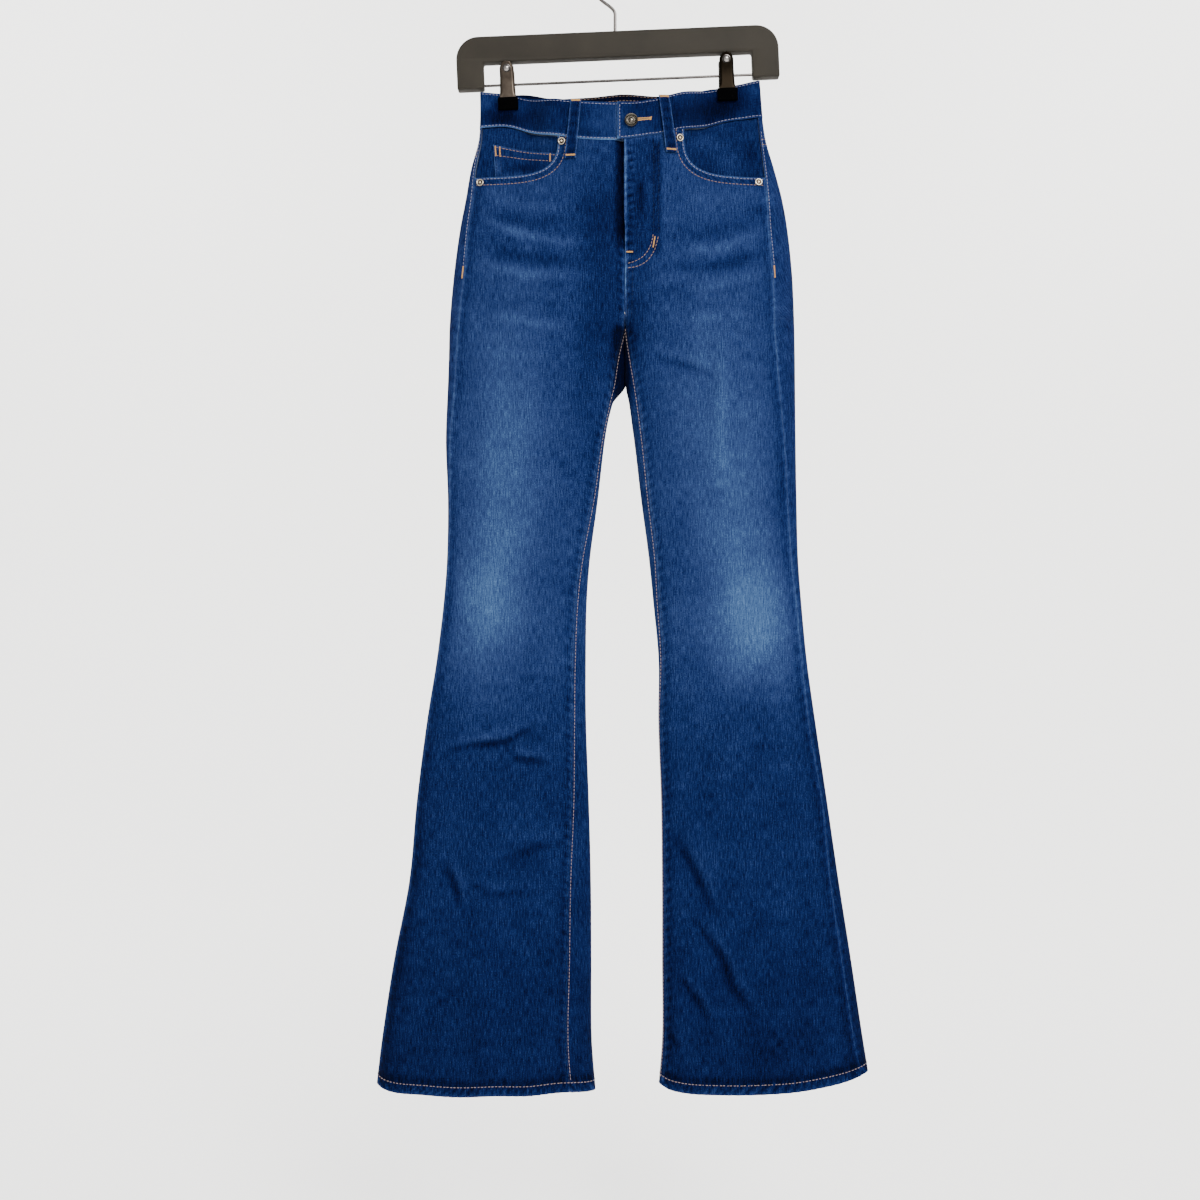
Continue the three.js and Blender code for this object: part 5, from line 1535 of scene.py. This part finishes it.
def tube(name, path, radius, material, sides=16):
    """A round wire along a path: a ring of points across the direction at each point, whose first
    side is carried along so that it does not twist, closed by flat ends."""
    path = np.asarray(path, float)
    along = unit(np.gradient(path, axis=0))
    side = unit(np.cross(along, np.array([0.0, 1.0, 0.0]) + 0 * along))
    up = np.cross(side, along)
    turn = np.arange(sides) * 2 * math.pi / sides
    radius = np.broadcast_to(np.asarray(radius, float), (len(path),))
    rings = path[:, None, :] + radius[:, None, None] * (np.cos(turn)[None, :, None] * side[:, None, :]
                                                       + np.sin(turn)[None, :, None] * up[:, None, :])
    ends = np.stack([path[0], path[-1]])
    vertices = np.concatenate([rings.reshape(-1, 3), ends])
    last, first_centre = (len(path) - 1) * sides, len(path) * sides
    caps = [[first_centre, (i + 1) % sides, i] for i in range(sides)]
    caps += [[first_centre + 1, last + i, last + (i + 1) % sides] for i in range(sides)]
    mesh = bpy.data.meshes.new(name)
    walls = ring_walls(len(path), sides)[:, ::-1].tolist()
    mesh.from_pydata((vertices * 0.001).tolist(), [], walls + caps)
    shape = bmesh.new()
    shape.from_mesh(mesh)
    bmesh.ops.recalc_face_normals(shape, faces=shape.faces)
    shape.to_mesh(mesh)
    shape.free()
    made = add_object(name, mesh, material, 50)
    return made


def tilted(points):
    """Points of the level hanger, turned by its tilt about the middle of its bar's top."""
    points = np.asarray(points, float)
    x, z = points[..., 0], points[..., 2]
    return np.stack([HANGER_X + x * math.cos(HANGER_TILT) - z * math.sin(HANGER_TILT), points[..., 1],
                     HANGER_Z + x * math.sin(HANGER_TILT) + z * math.cos(HANGER_TILT)], axis=-1)


bar_paint = painted("bar_paint", (0.0225, 0.0195, 0.0152), 0.64, 900, 0.00008, shine=0.09)
rounded_copy("hanger_bar", "hanger_frame", 2.2, bar_paint)
steel = plated_metal("steel_wire", (0.30, 0.28, 0.265), (0.09, 0.082, 0.078), 0.22, scale=300)
half_rod = (BAR_WIDTH - 2 * BAR_LEG - 2 * GAP) / 2
rod_x = np.linspace(-half_rod, half_rod, 60)
rod_line = tilted(np.stack([rod_x, 0 * rod_x, 0 * rod_x - ROD_BELOW], axis=-1))
rod = tube("clip_rod", rod_line, ROD_RADIUS, steel)
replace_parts(rod, "hanger_rod")

HOOK_RADIUS, HOOK_ARC = 1.85, 23.5
hook_centre_z = HOOK_RADIUS - HOOK_ARC
arc_turn = np.linspace(math.pi + 0.12, -0.5, 60)
arc_z = hook_centre_z + HOOK_ARC * np.sin(arc_turn)
arc = np.stack([HOOK_ARC * np.cos(arc_turn), 0 * arc_turn, arc_z], axis=-1)
stem_z = np.linspace(HANGER_Z + 0.35, -54, 14)
stem = np.stack([0 * stem_z, 0 * stem_z, stem_z], axis=-1)
t = np.linspace(0, 1, 30)[1:-1, None]
corners = [stem[-1], np.array([0, 0, -43.0]), np.array([-21.5, 0, -40.0]), arc[0]]
bend = ((1 - t) ** 3 * corners[0] + 3 * t * (1 - t) ** 2 * corners[1]
        + 3 * t * t * (1 - t) * corners[2] + t ** 3 * corners[3])
hook = tube("hook_wire", np.concatenate([stem, bend, arc]), HOOK_RADIUS, steel, sides=20)
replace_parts(hook, "hanger_hook")

# The clips: two sprung plates on the rod, of dark nickel with rolled edges, each with a large domed
# rivet near its top and a black rubber pad that grips the waistband.
CLIP_HALF, CLIP_ROUND, CLIP_PLATE, CLIP_TOP, CLIP_FOOT, CLIP_RIVET_Z = 9.0, 8.2, 1.2, 24.0, -15.9, 16.0
JAW_LINE = [(-15.9, -5.7), (0, -5.75), (14, -7.6), (28.5, -10.6)]
PAD_MIDDLE_Z = -23.35
# One nickel in two copies: the left clip's copy is painted much darker, as shade on it.
clip_metal = {
    "right": plated_metal("clip_metal_right", (0.052, 0.041, 0.032), (0.013, 0.010, 0.008), 0.34, 160),
    "left": plated_metal("clip_metal_left_painted_shade", (0.0060, 0.0044, 0.0028), (0.0016, 0.0012, 0.0008), 0.32, 160),
}
pad_rubber = painted("pad_rubber", (0.0005, 0.0005, 0.0006), 0.85, 1500, 0.0001, shine=0.01)
jaw_curve = curve_through(*zip(*JAW_LINE))
BALL_PROFILE = [(0, 2.4), (1.5, 2.2), (2.9, 1.6), (3.9, 0.7), (4.2, 0.0), (4.7, -0.1), (4.7, -0.6)]
for side, clip_x in CLIP_X.items():
    swing = (ROD_BELOW - PAD_MIDDLE_Z) * math.sin(HANGER_TILT)
    middle = np.array([(clip_x - HANGER_X - swing) / math.cos(HANGER_TILT), 0, -ROD_BELOW])
    for face, facing in (("front", 1), ("back", -1)):
        v = np.linspace(0, 1, 41)[:, None]
        u = np.linspace(-1, 1, 21)[None, :]
        height = mix(CLIP_FOOT, CLIP_TOP, v)
        round_top = np.clip((height - CLIP_TOP + CLIP_ROUND) / CLIP_ROUND, 0, 0.995)
        width = mix(CLIP_HALF, CLIP_ROUND, smooth(v / 0.7)) * np.sqrt(1 - round_top ** 2)
        rolled = 2.0 * smooth((abs(u) - 0.74) / 0.26) * smooth((1 - v) / 0.12)
        depth = facing * (jaw_curve(height) - CLIP_PLATE + rolled * smooth((height + 15) / 6))
        local = np.stack([u * width, depth, height + 0 * u], axis=-1)
        points = tilted(middle + local)
        out = unit(np.cross(np.gradient(points, axis=1), np.gradient(points, axis=0)))
        out = out if facing == 1 else -out
        jaw = cloth_piece("clip_plate_" + side + "_" + face, points, out, CLIP_PLATE, 0.0, clip_metal[side])
        layer = jaw.data.attributes.new("raised", "FLOAT", "POINT")
        level = 0.55 + 0.35 * bell((abs(u) - 0.8) / 0.12) + 0 * v
        layer.data.foreach_set("value", np.tile(level.ravel(), 2).astype(np.float32))
        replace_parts(jaw, "clip_jaw_" + side + "_" + face)
        seat_y = facing * (jaw_curve(CLIP_RIVET_Z) - CLIP_PLATE - 0.15)
        seat = tilted(middle + np.array([0, seat_y, CLIP_RIVET_Z]))
        lean = math.atan2(3.0, 14.5)
        aim = tilted(np.array([0, -facing * math.cos(lean), -math.sin(lean)])) - tilted(np.zeros(3))
        metal_piece("clip_rivet_" + side + "_" + face, [turned(BALL_PROFILE, seat, aim, 24)], steel)
        rounded_copy("pad_" + side + "_" + face, "clip_pad_" + side + "_" + face, 0.9, pad_rubber, 2)
    turns = np.linspace(0, 5.5 * 2 * math.pi, 200)
    coil = np.stack([np.linspace(-5.4, 5.4, 200), 3.5 * np.cos(turns), 3.5 * np.sin(turns)], axis=-1)
    spring = tube("spring_coil_" + side, tilted(middle + coil), 0.8, steel, sides=8)
    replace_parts(spring, "clip_spring_" + side)
